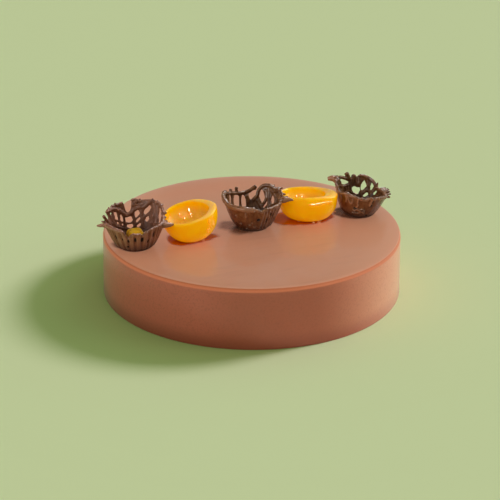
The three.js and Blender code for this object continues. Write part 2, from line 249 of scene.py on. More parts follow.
class ShaderGraph:
    """The node graph of one material."""

    def __init__(self, name: str) -> None:
        """Starts an empty material.

        Args:
            name: The material's name.
        """
        self.material = bpy.data.materials.new(name)
        self.material.use_nodes = True
        self.tree = self.material.node_tree
        self.tree.nodes.clear()
        self.place = self.read("ShaderNodeTexCoord", {}, {}, "Object")

    def node(
        self, kind: str, settings: Mapping[str, Any], inputs: Mapping[str | int, Any]
    ) -> bpy.types.Node:
        """Adds a node.

        Args:
            kind: The node's type.
            settings: Its properties, set before its sockets.
            inputs: Values or links of its sockets, by index, name or identifier.

        Returns:
            The node.
        """
        node = self.tree.nodes.new(kind)
        for key, value in settings.items():
            setattr(node, key, value)
        for key, value in inputs.items():
            socket = self._socket(node.inputs, key)
            if isinstance(value, Socket):
                self.tree.links.new(value.link, socket)
            else:
                socket.default_value = value
        return node

    def read(
        self,
        kind: str,
        settings: Mapping[str, Any],
        inputs: Mapping[str | int, Any],
        output: str | int = 0,
    ) -> Socket:
        """Adds a node and takes one of its outputs.

        Args:
            kind: The node's type.
            settings: Its properties.
            inputs: Values or links of its sockets.
            output: The output's name or index.

        Returns:
            The output.
        """
        node = self.node(kind, settings, inputs)
        return Socket(self, self._socket(node.outputs, output))

    @staticmethod
    def _socket(sockets: Sequence[bpy.types.NodeSocket], key: str | int) -> bpy.types.NodeSocket:
        """Finds a socket by index, identifier or name."""
        if isinstance(key, int):
            return sockets[key]
        return next(s for s in sockets if key in (s.identifier, s.name))

    def axis(self, name: str) -> Socket:
        """Reads the place along one axis, "X", "Y" or "Z"."""
        return self.read("ShaderNodeSeparateXYZ", {}, {"Vector": self.place}, name)

    def along(self, way: Way) -> Socket:
        """Reads the place along a direction."""
        settings = {"operation": "DOT_PRODUCT"}
        return self.read("ShaderNodeVectorMath", settings, {0: self.place, 1: way}, "Value")

    def off_axis(self) -> Socket:
        """Reads the distance from the vertical axis."""
        flat = self.stretched((1.0, 1.0, 0.0))
        return self.read("ShaderNodeVectorMath", {"operation": "LENGTH"}, {0: flat}, "Value")

    def mark(self, attribute: str) -> Socket:
        """Reads an attribute of the piece."""
        return self.read("ShaderNodeAttribute", {"attribute_name": attribute}, {}, "Fac")

    def stretched(self, scale: Way) -> Socket:
        """Stretches the place along the axes."""
        return self.read("ShaderNodeMapping", {}, {"Vector": self.place, "Scale": scale})

    def clouds(self, size: float, detail: float = 3.0, where: Socket | None = None) -> Socket:
        """Soft noise.

        Args:
            size: Size of its clouds in metres.
            detail: Octaves of finer noise.
            where: The place it is read at, or None for the place on the piece.

        Returns:
            The noise, about 0.5 on average.
        """
        inputs = {"Vector": where or self.place, "Scale": 1 / size, "Detail": detail, "Roughness": 0.55}
        return self.read("ShaderNodeTexNoise", {}, inputs)

    def rise(self, value: Socket, low: float, high: float) -> Socket:
        """Eases a value from 0 at low to 1 at high.

        Args:
            value: What is eased.
            low: Start of the rise.
            high: End of the rise.

        Returns:
            The eased value.
        """
        settings = {"interpolation_type": "SMOOTHSTEP"}
        inputs = {"Value": value, "From Min": low, "From Max": high}
        return self.read("ShaderNodeMapRange", settings, inputs)

    def blend(self, share: Socket | float, under: Socket | Colour, over: Socket | Colour) -> Socket:
        """Mixes two colours.

        Args:
            share: How much of the second colour.
            under: The first colour.
            over: The second colour.

        Returns:
            The mixed colour.
        """
        inputs = {"Factor_Float": share, "A_Color": under, "B_Color": over}
        return self.read("ShaderNodeMix", {"data_type": "RGBA"}, inputs, "Result_Color")

    def bump(self, height: Socket, depth: float) -> Socket:
        """Turns a height into a normal.

        Args:
            height: The height, from 0 to 1.
            depth: What a height of 1 is in metres.

        Returns:
            The normal.
        """
        inputs = {"Height": height, "Distance": depth, "Strength": 1.0}
        return self.read("ShaderNodeBump", {}, inputs, "Normal")

    def finish(self, inputs: Mapping[str, Any]) -> bpy.types.Material:
        """Closes the graph with a surface shader.

        Args:
            inputs: Values or links of the shader's sockets.

        Returns:
            The material.
        """
        surface = self.read("ShaderNodeBsdfPrincipled", {}, inputs)
        self.node("ShaderNodeOutputMaterial", {}, {"Surface": surface})
        return self.material


# Finishes


NO_GLOW: Colour = (0.0, 0.0, 0.0, 1.0)
SYRUP_TINT: Colour = (1.0, 0.78, 0.4, 1.0)


@dataclass(frozen=True)
class GlazeFinish:
    """Satin milk chocolate glaze, with painted light and shade: lit and shaded tones on the top and side,
    painted shade at the foot, and along the cake's edge a narrow band painted dark as shade that glows with
    painted light standing for light through the thin glaze.
    """

    radius: float
    height: float
    band_drop: float
    top: Colour = (0.60, 0.25, 0.135, 1.0)
    top_warm: Colour = (0.60, 0.235, 0.115, 1.0)
    top_stroke: Colour = (0.45, 0.17, 0.09, 1.0)
    # painted light: the top is paler towards the lit side, and lightened at its far left, where the left
    # basket shades it
    top_lit_side: Colour = (0.70, 0.29, 0.15, 1.0)
    top_left_painted_light: Colour = (0.77, 0.305, 0.15, 1.0)
    # painted tone: the back of the top is warmer, to offset the grey sheen it catches at a low angle
    top_back_sheen_offset: Colour = (0.645, 0.226, 0.10, 1.0)
    # painted highlight along the top's edge
    top_edge_highlight: Colour = (0.72, 0.30, 0.165, 1.0)
    # the side's colours are lit and shaded tones of one glaze; the red of the shaded front also paints red
    # reflected light
    side: Colour = (0.66, 0.135, 0.09, 1.0)
    # painted light: paler tones where the key light falls on the side, and at the back
    side_lit: Colour = (0.79, 0.298, 0.19, 1.0)
    side_back_lit: Colour = (0.66, 0.28, 0.178, 1.0)
    # shaded tone for the left of the side
    side_left_shaded: Colour = (0.85, 0.188, 0.142, 1.0)
    side_grain: Colour = (0.50, 0.10, 0.07, 1.0)
    # painted shade at the foot of the side
    foot: Colour = (0.52, 0.09, 0.06, 1.0)
    # the band's deep orange is darkened as painted shade, so that the key light leaves it dark
    band: Colour = (0.24, 0.06, 0.022, 1.0)
    # band_glow and lip_glow are a painted glow: emission that stands for light through the thin glaze at the
    # edge
    band_glow: Colour = (0.38, 0.115, 0.051, 1.0)
    lip_glow: Colour = (0.315, 0.092, 0.036, 1.0)
    # this way points to where the key light falls; the glaze is painted paler there
    lit_side_way: Way = (0.93, -0.36, 0.0)
    back_way: Way = (0.38, 0.925, 0.0)

    def material(self) -> bpy.types.Material:
        """Builds the material.

        Returns:
            The glaze.
        """
        graph = ShaderGraph("milk_chocolate_glaze")
        height = graph.axis("Z")
        toward = graph.along(self.lit_side_way)
        pale = graph.rise(toward, 0.35 * self.radius, 0.95 * self.radius)
        band_foot = self.height - self.band_drop
        above_side = graph.rise(height, band_foot - 1.4 * MM, band_foot + 0.6 * MM)
        on_top = graph.rise(height, self.height - 0.35 * MM, self.height - 0.1 * MM)
        level = graph.rise(height, self.height - 0.08 * MM, self.height - 0.01 * MM)
        lip = graph.rise(height, self.height - 1.5 * MM, self.height - 0.9 * MM)
        band = above_side * (1.0 - on_top)
        edge = above_side * (1.0 - level)
        body = graph.blend(on_top, self._side(graph, toward, pale), self._top(graph, toward, pale))
        # painted glow of the edge band, a little different on its upper lip
        glow = graph.blend(lip, self.band_glow, self.lip_glow)
        streaks = graph.clouds(12 * MM, 3.0, graph.stretched((1.0, 1.0, 0.12)))
        relief = 0.7 * graph.clouds(18 * MM, 2.0) + 0.3 * streaks
        return graph.finish(
            {
                "Base Color": graph.blend(band, body, self.band),
                "Roughness": 0.38 + 0.14 * graph.clouds(30 * MM, 4.0) + 0.4 * edge,
                "Normal": graph.bump(relief, 0.15 * MM),
                "Specular IOR Level": 0.6,
                "Subsurface Weight": 0.15,
                "Subsurface Radius": (1.0, 0.45, 0.25),
                "Subsurface Scale": 2.0 * MM,
                "Coat Weight": 0.5 * (1.0 - edge),
                "Coat Roughness": 0.09,
                "Coat IOR": 1.55,
                "Sheen Weight": 0.25,
                "Sheen Roughness": 0.4,
                "Emission Color": graph.blend(band, NO_GLOW, glow),
                "Emission Strength": 1.0,
            }
        )

    def _top(self, graph: ShaderGraph, toward: Socket, pale: Socket) -> Socket:
        """Colours the cake's top, which is brushed, with painted light: paler towards the lit side, lightened
        at the far left where the left basket shades it, warmer at the back against the grey sheen it catches
        there, and a painted highlight along its edge.

        Args:
            graph: The material's graph.
            toward: The place towards the lit side, where the glaze is painted paler.
            pale: 1 at the lit side, where painted light makes the glaze paler.

        Returns:
            The colour.
        """
        mottle = graph.rise(graph.clouds(50 * MM, 4.0), 0.35, 0.65)
        brushed = graph.clouds(6 * MM, 3.0, graph.stretched((0.16, 1.0, 1.0)))
        back = graph.rise(graph.axis("Y"), 0.45 * self.radius, 0.8 * self.radius)
        far_left = graph.rise(0.0 - toward, 0.5 * self.radius, 0.95 * self.radius)
        rim = graph.rise(graph.off_axis(), self.radius - 6.0 * MM, self.radius - 1.5 * MM)
        top = graph.blend(mottle, self.top, self.top_warm)
        top = graph.blend(0.22 * graph.rise(brushed, 0.5, 0.75), top, self.top_stroke)
        # painted light: warmer back, lighter far left, paler lit side and a highlight near the rim
        top = graph.blend(back, top, self.top_back_sheen_offset)
        top = graph.blend(far_left, top, self.top_left_painted_light)
        top = graph.blend(pale, top, self.top_lit_side)
        return graph.blend(0.6 * rim, top, self.top_edge_highlight)

    def _side(self, graph: ShaderGraph, toward: Socket, pale: Socket) -> Socket:
        """Colours the cake's side with lit and shaded tones of one glaze: a red shaded tone at the front and
        left that also paints red reflected light, paler lit tones on the lit side and at the back, and
        painted shade towards its foot.

        Args:
            graph: The material's graph.
            toward: The place towards the lit side, where the glaze is painted paler.
            pale: 1 at the lit side, where painted light makes the glaze paler.

        Returns:
            The colour.
        """
        left = graph.rise(0.0 - toward, 0.05 * self.radius, 0.42 * self.radius)
        behind = graph.rise(graph.along(self.back_way), 0.1 * self.radius, 0.5 * self.radius)
        grain = graph.rise(graph.clouds(1.6 * MM, 2.0), 0.45, 0.75)
        # lit and shaded tones blended round the side
        side = graph.blend(left, self.side, self.side_left_shaded)
        side = graph.blend(pale, side, self.side_lit)
        side = graph.blend(behind, side, self.side_back_lit)
        side = graph.blend(0.3 * grain, side, self.side_grain)
        # painted shade towards the foot, weaker at the back and on the lit side
        low = 1.0 - graph.rise(graph.axis("Z"), 0.0, 0.3 * self.height)
        return graph.blend(low * (1.0 - 0.7 * behind) * (1.0 - 0.35 * pale), side, self.foot)


@dataclass(frozen=True)
class ChocolateFinish:
    """Dark chocolate, melted and set, with a faint bloom, painted highlights on its proud ridges, painted
    shade at its foot and near-black painted shade in its pressed slits.
    """

    name: str = "dark_chocolate"
    dark: Colour = srgb("5a3013")
    light: Colour = srgb("835531")
    # painted highlight on ridges that stand proud of the wall
    ridge: Colour = srgb("a8795a")
    # painted shade at the basket's foot, where it stands on the glaze
    foot: Colour = srgb("331a0d")
    # painted shade: near black in the pressed slits
    slit: Colour = (0.006, 0.003, 0.002, 1.0)
    foot_level: float = CAKE_TOP * MM
    foot_fade: float = 14 * MM
    shine: float = 0.26

    def material(self) -> bpy.types.Material:
        """Builds the material.

        Returns:
            The chocolate.
        """
        graph = ShaderGraph(self.name)
        bloom = graph.rise(graph.clouds(5 * MM, 4.0), 0.38, 0.7)
        streaks = graph.rise(graph.clouds(2.2 * MM, 3.0, graph.stretched((1.0, 1.0, 0.2))), 0.35, 0.7)
        body = graph.blend(0.55 * bloom + 0.45 * streaks, self.dark, self.light)
        ridge = graph.mark(PAINTED_RIDGE_HIGHLIGHT)
        # painted highlight on the proud ridges
        body = graph.blend(0.5 * ridge, body, self.ridge)
        height = graph.axis("Z")
        # painted shade fades out above the foot
        clear_of_foot_shade = graph.rise(height, self.foot_level, self.foot_level + self.foot_fade)
        floor = 1.0 - graph.rise(height, self.foot_level + 2.0 * MM, self.foot_level + 4.0 * MM)
        relief = 0.55 * graph.clouds(3 * MM, 2.0) + 0.25 * graph.clouds(1.5 * MM, 2.0) + 0.2 * streaks
        slit = graph.mark(SLIT_SHADE)
        return graph.finish(
            {
                # painted shade in the slits, over painted shade at the foot
                "Base Color": graph.blend(slit, graph.blend(clear_of_foot_shade, self.foot, body), self.slit),
                "Roughness": self.shine + 0.16 * graph.clouds(4 * MM, 3.0) + 0.6 * floor + 0.6 * slit,
                "Normal": graph.bump(relief, 0.45 * MM),
                "Specular IOR Level": 0.5,
            }
        )


@dataclass(frozen=True)
class ApricotFinish:
    """Poached apricot flesh under clear syrup, with painted shade at its foot, a painted highlight along the
    lip of its cut face, and a painted glow that stands for light through the flesh.
    """

    ripe: Colour = (1.0, 0.52, 0.0, 1.0)
    deep: Colour = (1.0, 0.42, 0.0, 1.0)
    # painted shade at the foot, where the half meets the glaze
    foot: Colour = (0.75, 0.2, 0.0, 1.0)
    # painted highlight along the lip of the cut face, stronger to the right where the light falls
    lip: Colour = (1.0, 0.60, 0.20, 1.0)
    hollow: Colour = (0.90, 0.47, 0.04, 1.0)
    # painted glow: emission that stands for light through the translucent flesh
    glow: Colour = (1.0, 0.42, 0.0, 1.0)
    # dimmer painted glow at the foot
    foot_glow: Colour = (0.5, 0.1, 0.0, 1.0)
    hollow_glow: Colour = (0.32, 0.15, 0.01, 1.0)
    foot_level: float = CAKE_TOP * MM
    foot_fade: float = 5 * MM

    def material(self) -> bpy.types.Material:
        """Builds the material.

        Returns:
            The apricot.
        """
        graph = ShaderGraph("glazed_apricot")
        patches = graph.rise(graph.clouds(12 * MM, 4.0), 0.35, 0.7)
        fibres = graph.clouds(2.2 * MM, 3.0)
        clear_of_foot_shade = graph.rise(graph.axis("Z"), self.foot_level - 1.5 * MM, self.foot_level + self.foot_fade)
        cut = graph.mark(CUT_FACE_AND_LIP_HIGHLIGHT)
        pit = graph.rise(0.0 - cut, 0.02, 0.6)
        flesh = graph.blend(patches, self.ripe, self.deep)
        flesh = graph.blend(pit, flesh, self.hollow)
        # painted highlight on the lip
        flesh = graph.blend(0.65 * graph.rise(cut, 0.1, 0.9), flesh, self.lip)
        # painted glow, dimmer in the hollow
        glow = graph.blend(pit, self.glow, self.hollow_glow)
        ridges = graph.clouds(4 * MM, 0.0, graph.stretched((1.0, 1.0, 0.4)))
        relief = 0.5 * graph.clouds(8 * MM, 0.0) + 0.6 * pit * ridges
        return graph.finish(
            {
                "Base Color": graph.blend(clear_of_foot_shade, self.foot, flesh),
                "Roughness": 0.03 + 0.05 * fibres + 0.22 * pit,
                "Normal": graph.bump(relief, 1.2 * MM),
                "Specular IOR Level": 0.5,
                "Specular Tint": SYRUP_TINT,
                "Subsurface Weight": 1.0,
                "Subsurface Radius": (1.0, 0.6, 0.05),
                "Subsurface Scale": 5.0 * MM,
                "Emission Color": graph.blend(clear_of_foot_shade, self.foot_glow, glow),
                "Emission Strength": 0.2,
            }
        )


@dataclass(frozen=True)
class FruitFinish:
    """Moist yellow fruit, with painted shade on its lower part inside the basket."""

    flesh: Colour = (0.70, 0.38, 0.012, 1.0)
    shade: Colour = (0.42, 0.18, 0.006, 1.0)
    # painted shade on the lower part of the lump, inside the basket
    painted_lower_shade: Colour = (0.06, 0.02, 0.005, 1.0)
    painted_lower_shade_level: float = 58.5 * MM
    painted_lower_shade_fade: float = 2.5 * MM

    def material(self) -> bpy.types.Material:
        """Builds the material.

        Returns:
            The fruit.
        """
        graph = ShaderGraph("yellow_fruit")
        patches = graph.rise(graph.clouds(4 * MM, 3.0), 0.4, 0.7)
        # painted shade below this level
        clear_of_lower_shade = graph.rise(graph.axis("Z"), self.painted_lower_shade_level, self.painted_lower_shade_level + self.painted_lower_shade_fade)
        flesh = graph.blend(patches, self.flesh, self.shade)
        return graph.finish(
            {
                "Base Color": graph.blend(clear_of_lower_shade, self.painted_lower_shade, flesh),
                "Roughness": 0.25 + 0.15 * graph.clouds(2 * MM, 3.0),
                "Normal": graph.bump(graph.clouds(2 * MM, 3.0), 0.15 * MM),
                "Specular IOR Level": 0.3,
                "Specular Tint": SYRUP_TINT,
                "Subsurface Weight": 0.3,
                "Subsurface Radius": (1.0, 0.6, 0.1),
                "Subsurface Scale": 2.0 * MM,
            }
        )


@dataclass(frozen=True)
class SyrupFinish:
    """A thin wet film that fades out at its edge, whose dark tint is mostly painted shadow round a topping's
    foot, and painted reflection in the wet patch.
    """

    name: str
    tint: Colour
    strength: float
    ripple: float = 0.25 * MM

    def material(self) -> bpy.types.Material:
        """Builds the material.

        Returns:
            The syrup.
        """
        graph = ShaderGraph(self.name)
        film = graph.mark(FILM_DEPTH)
        patches = graph.clouds(4 * MM, 3.0)
        depth = self.strength * film * (0.8 + 0.4 * patches)
        return graph.finish(
            {
                "Base Color": self.tint,
                "Roughness": 0.06 + 0.1 * patches,
                "Alpha": depth,
                "Normal": graph.bump(graph.clouds(3.5 * MM, 2.0), self.ripple),
                "Specular IOR Level": 0.08,
            }
        )


@dataclass(frozen=True)
class DropFinish:
    """Clear wet drops that take the colour of what they lie on, some with a painted glow."""

    name: str
    pale: Colour
    deep: Colour
    # painted glow: emission like the apricot's
    glow: Colour = NO_GLOW
    cover: float = 0.55

    def material(self) -> bpy.types.Material:
        """Builds the material.

        Returns:
            What the drops are of.
        """
        graph = ShaderGraph(self.name)
        patches = graph.clouds(1 * MM, 2.0)
        return graph.finish(
            {
                "Base Color": graph.blend(patches, self.pale, self.deep),
                "Roughness": 0.04 + 0.05 * patches,
                "Alpha": self.cover,
                "Specular IOR Level": 1.0,
                "Emission Color": self.glow,
                "Emission Strength": 0.3,
            }
        )


@dataclass(frozen=True)
class FloorFinish:
    """Matt, plain, pale floor."""

    paint: Colour = (0.597, 0.819, 0.292, 1.0)

    def material(self) -> bpy.types.Material:
        """Builds the material.

        Returns:
            The floor's paint.
        """
        graph = ShaderGraph("plain_floor")
        return graph.finish({"Base Color": self.paint, "Roughness": 0.9, "Specular IOR Level": 0.1})


CLEAR_SYRUP = DropFinish(
    "clear_syrup", pale=(1.0, 0.52, 0.04, 1.0), deep=(1.0, 0.44, 0.0, 1.0), glow=(1.0, 0.42, 0.0, 1.0),
)
# pale tone and glow paint the glints of the drops round the apricots' feet
PALE_SYRUP_AND_GLINT = DropFinish(
    "pale_syrup", pale=(1.0, 0.58, 0.28, 1.0), deep=(0.9, 0.40, 0.14, 1.0), glow=(0.30, 0.12, 0.04, 1.0),
)
# pale mauve paints the sparkles of the wet chocolate drops at the baskets' feet
WET_CHOCOLATE_AND_SPARKLE = DropFinish("wet_chocolate", pale=(0.50, 0.26, 0.17, 1.0), deep=(0.34, 0.15, 0.09, 1.0))
# syrup film whose orange-brown tint is mostly painted contact shadow round the apricots' feet
AMBER_SYRUP_AND_SHADOW = SyrupFinish("amber_syrup", tint=(0.56, 0.112, 0.0, 1.0), strength=1.15)
# melted chocolate film whose dark tint is mostly painted contact shadow round the baskets' feet
MELT_AND_SHADOW = SyrupFinish("melted_chocolate", tint=(0.12, 0.038, 0.015, 1.0), strength=0.85)
# wet glaze whose dark tint paints the middle basket's reflection beside it
WET_GLAZE_AND_REFLECTION = SyrupFinish("wet_glaze", tint=(0.24, 0.115, 0.10, 1.0), strength=0.58, ripple=0.5 * MM)


# Modelling


@dataclass(frozen=True)
class Placement:
    """Where a topping stands on the cake, in millimetres and degrees."""

    along: float
    across: float
    lean_forward: float
    lean_right: float
    standing: float = 0.3

    def matrix(self) -> Matrix:
        """Works out the topping's frame.

        Returns:
            The frame, in millimetres.
        """
        lean = Matrix.Rotation(math.radians(self.lean_right), 4, "Y")
        nod = Matrix.Rotation(math.radians(self.lean_forward), 4, "X")
        place = Vector((self.along, self.across, CAKE_TOP + self.standing - TOPPING_SINK))
        return Matrix.Translation(place) @ FRONT @ lean @ nod

    def seat(self, obj: bpy.types.Object) -> None:
        """Moves a topping to its place and cuts off what is pressed into the glaze.

        Args:
            obj: The topping, in its own frame.
        """
        obj.data.transform(self.matrix())
        work = Sculpture(obj.data)
        work.trim_below(CAKE_TOP - TRIM_DEPTH)
        work.store(obj.data)


class Station(NamedTuple):
    """One place on the path of a swept section."""

    point: Vector
    side: Vector
    girth: float


class Sculpture:
    """A mesh being modelled, in millimetres."""

    def __init__(self, mesh: bpy.types.Mesh | None = None) -> None:
        """Starts with nothing, or with a copy of a mesh.

        Args:
            mesh: The mesh to copy, if any.
        """
        self.bm = bmesh.new()
        if mesh is not None:
            self.bm.from_mesh(mesh)

    def turned(self, profile: Sequence[tuple[float, float]], steps: int) -> list[bmesh.types.BMVert]:
        """Spins a profile round the vertical axis.

        Args:
            profile: Radius and height of its corners, in order.
            steps: Number of steps in the full turn.

        Returns:
            The new vertices.
        """
        before = set(self.bm.verts)
        corners = [self.bm.verts.new((0.0, -radius, height)) for radius, height in profile]
        edges = [self.bm.edges.new(pair) for pair in zip(corners, corners[1:])]
        bmesh.ops.spin(
            self.bm,
            geom=[*corners, *edges],
            cent=(0.0, 0.0, 0.0),
            axis=UP,
            angle=2 * math.pi,
            steps=steps,
            use_merge=True,
        )
        made = [v for v in self.bm.verts if v not in before]
        bmesh.ops.remove_doubles(self.bm, verts=made, dist=MERGE)
        return [v for v in self.bm.verts if v not in before]

    def sweep(self, stations: Sequence[Station], sides: int) -> None:
        """Draws a round section along a path by extruding its end face.

        Args:
            stations: The path, with the section's girth at each place.
            sides: Number of sides of the section.
        """
        frames = []
        for i, station in enumerate(stations):
            before = stations[max(i - 1, 0)].point
            after = stations[min(i + 1, len(stations) - 1)].point
            way = (after - before).normalized()
            across = way.cross(station.side).normalized()
            turn = Matrix((across.cross(way), across, way)).transposed().to_4x4()
            frames.append(Matrix.Translation(station.point) @ turn @ Matrix.Scale(station.girth / 2, 4))
        start = bmesh.ops.create_circle(
            self.bm, cap_ends=True, segments=sides, radius=1.0, matrix=frames[0]
        )
        end = start["verts"][0].link_faces[0]
        for here, there in zip(frames, frames[1:]):
            grown = bmesh.ops.extrude_face_region(self.bm, geom=[end])
            end = next(g for g in grown["geom"] if isinstance(g, bmesh.types.BMFace))
            bmesh.ops.transform(self.bm, matrix=there @ here.inverted(), verts=end.verts)

    def drop(self, shape: Matrix) -> None:
        """Adds a drop, a ball of width 1 that the matrix shapes and places."""
        bmesh.ops.create_icosphere(self.bm, subdivisions=3, radius=0.5, matrix=shape)

    def trim_below(self, level: float) -> None:
        """Cuts everything below a level away and closes the cut.

        Args:
            level: Height of the cut.
        """
        geometry = [*self.bm.verts, *self.bm.edges, *self.bm.faces]
        cut = bmesh.ops.bisect_plane(
            self.bm, geom=geometry, plane_co=(0.0, 0.0, level), plane_no=UP, clear_inner=True
        )
        rim = [g for g in cut["geom_cut"] if isinstance(g, bmesh.types.BMEdge)]
        bmesh.ops.holes_fill(self.bm, edges=rim)

    def join(self, other: "Sculpture") -> None:
        """Takes in another mesh and frees it.

        Args:
            other: The other mesh.
        """
        mesh = bpy.data.meshes.new("joined")
        other.store(mesh)
        self.bm.from_mesh(mesh)
        bpy.data.meshes.remove(mesh)

    def face_outwards(self) -> None:
        """Turns every face to the outside."""
        bmesh.ops.recalc_face_normals(self.bm, faces=self.bm.faces)

    def store(self, mesh: bpy.types.Mesh) -> None:
        """Writes the work into a mesh and frees it."""
        self.bm.to_mesh(mesh)
        self.bm.free()

    def piece(self, name: str) -> bpy.types.Object:
        """Makes the object, still in millimetres, and frees the work mesh.

        Args:
            name: The object's name.

        Returns:
            The object, linked to the scene.
        """
        mesh = bpy.data.meshes.new(name)
        self.store(mesh)
        obj = bpy.data.objects.new(name, mesh)
        bpy.context.scene.collection.objects.link(obj)
        return obj


def settle(obj: bpy.types.Object) -> None:
    """Applies an object's modifiers to its mesh.

    Args:
        obj: The object.
    """
    graph = bpy.context.evaluated_depsgraph_get()
    graph.update()
    shaped = bpy.data.meshes.new_from_object(obj.evaluated_get(graph))
    rough = obj.data
    obj.modifiers.clear()
    obj.data = shaped
    bpy.data.meshes.remove(rough)


def dress(
    obj: bpy.types.Object, material: bpy.types.Material, node: str | None
) -> bpy.types.Object:
    """Scales a piece to metres, gives it its finish and joins it to the frame.

    Args:
        obj: The piece, in millimetres.
        material: Its finish.
        node: The solid that the piece stands for, if any.

    Returns:
        The piece.
    """
    obj.data.transform(Matrix.Scale(MM, 4))
    obj.data.materials.clear()
    obj.data.materials.append(material)
    obj.data.shade_smooth()
    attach(obj, BODY)
    if node:
        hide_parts(node)
    return obj


# The cake


@dataclass
class GlazedCake:
    """The round cake, whose glaze breaks over its edge in a narrow sloping band."""

    band_drop: float = 2.6
    band_in: float = 0.9
    lip_round: float = 0.45
    band_round: float = 0.4
    foot_spread: float = 0.8
    foot_round: float = 0.6
    bevel_steps: int = 4
    steps: int = 240
    rings: int = 8
    ring_slack: float = 0.01

    def build(self) -> bpy.types.Object:
        """Models the cake and dresses it.

        Returns:
            The cake.
        """
        foot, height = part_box("cake")[1].x / MM, CAKE_TOP
        radius = foot - self.foot_spread
        lip = radius - self.band_in
        work = Sculpture()
        inner = [(lip * (self.rings - i) / self.rings, height) for i in range(1, self.rings + 1)]
        profile = [(0.0, 0.0), (foot, 0.0), (radius, height - self.band_drop), (lip, height), *inner]
        work.turned(profile, self.steps)
        work.face_outwards()
        self._round_edge(work.bm, lip, height, self.lip_round)
        self._round_edge(work.bm, radius, height - self.band_drop, self.band_round)
        self._round_edge(work.bm, foot, 0.0, self.foot_round)
        cake = work.piece(CAKE_PIECE)
        finish = GlazeFinish(radius=radius * MM, height=height * MM, band_drop=self.band_drop * MM)
        return dress(cake, finish.material(), "cake")

    def _round_edge(self, bm: bmesh.types.BMesh, radius: float, level: float, offset: float) -> None:
        """Rounds one ring of edges.

        Args:
            bm: The cake's mesh.
            radius: Radius of the ring.
            level: Height of the ring.
            offset: How far the rounding reaches.
        """
        on_ring = {
            v
            for v in bm.verts
            if math.hypot(v.co.z - level, v.co.xy.length - radius) < self.ring_slack
        }
        ring = [e for e in bm.edges if on_ring.issuperset(e.verts)]
        bmesh.ops.bevel(
            bm,
            geom=ring,
            offset=offset,
            affect="EDGES",
            segments=self.bevel_steps,
            profile=0.5,
            material=-1,
        )


# The chocolate baskets


class Strand(NamedTuple):
    """A piped line in a basket's wall, through azimuths and wall heights."""

    girth: float
    route: tuple[tuple[float, float], ...]


class Spike(NamedTuple):
    """A tapering end that leaves a basket's wall."""

    girth: float
    azimuth: float
    height: float
    heading: float
    length: float
    rise: float


class Tongue(NamedTuple):
    """A free end of chocolate, through places in the basket's own frame."""

    girths: tuple[float, ...]
    route: tuple[tuple[float, float, float], ...]


class Slit(NamedTuple):
    """A narrow slit pressed into a basket's closed wall and painted near black as shade."""

    azimuth: float
    height: float
    width: float
    tall: float


def strand(girth: float, *route: tuple[float, float]) -> Strand:
    """Writes a strand in short."""
    return Strand(girth, route)


def inside(outline: Outline, azimuth: float, height: float) -> bool:
    """Tells whether a place on a wall lies in an outline.

    Args:
        outline: Azimuths and heights of the outline's corners.
        azimuth: Azimuth of the place.
        height: Height of the place.

    Returns:
        True inside the outline.
    """
    found = False
    for (a, low), (b, high) in zip(outline, outline[1:] + outline[:1]):
        if (low > height) != (high > height) and azimuth < a + (b - a) * (height - low) / (high - low):
            found = not found
    return found


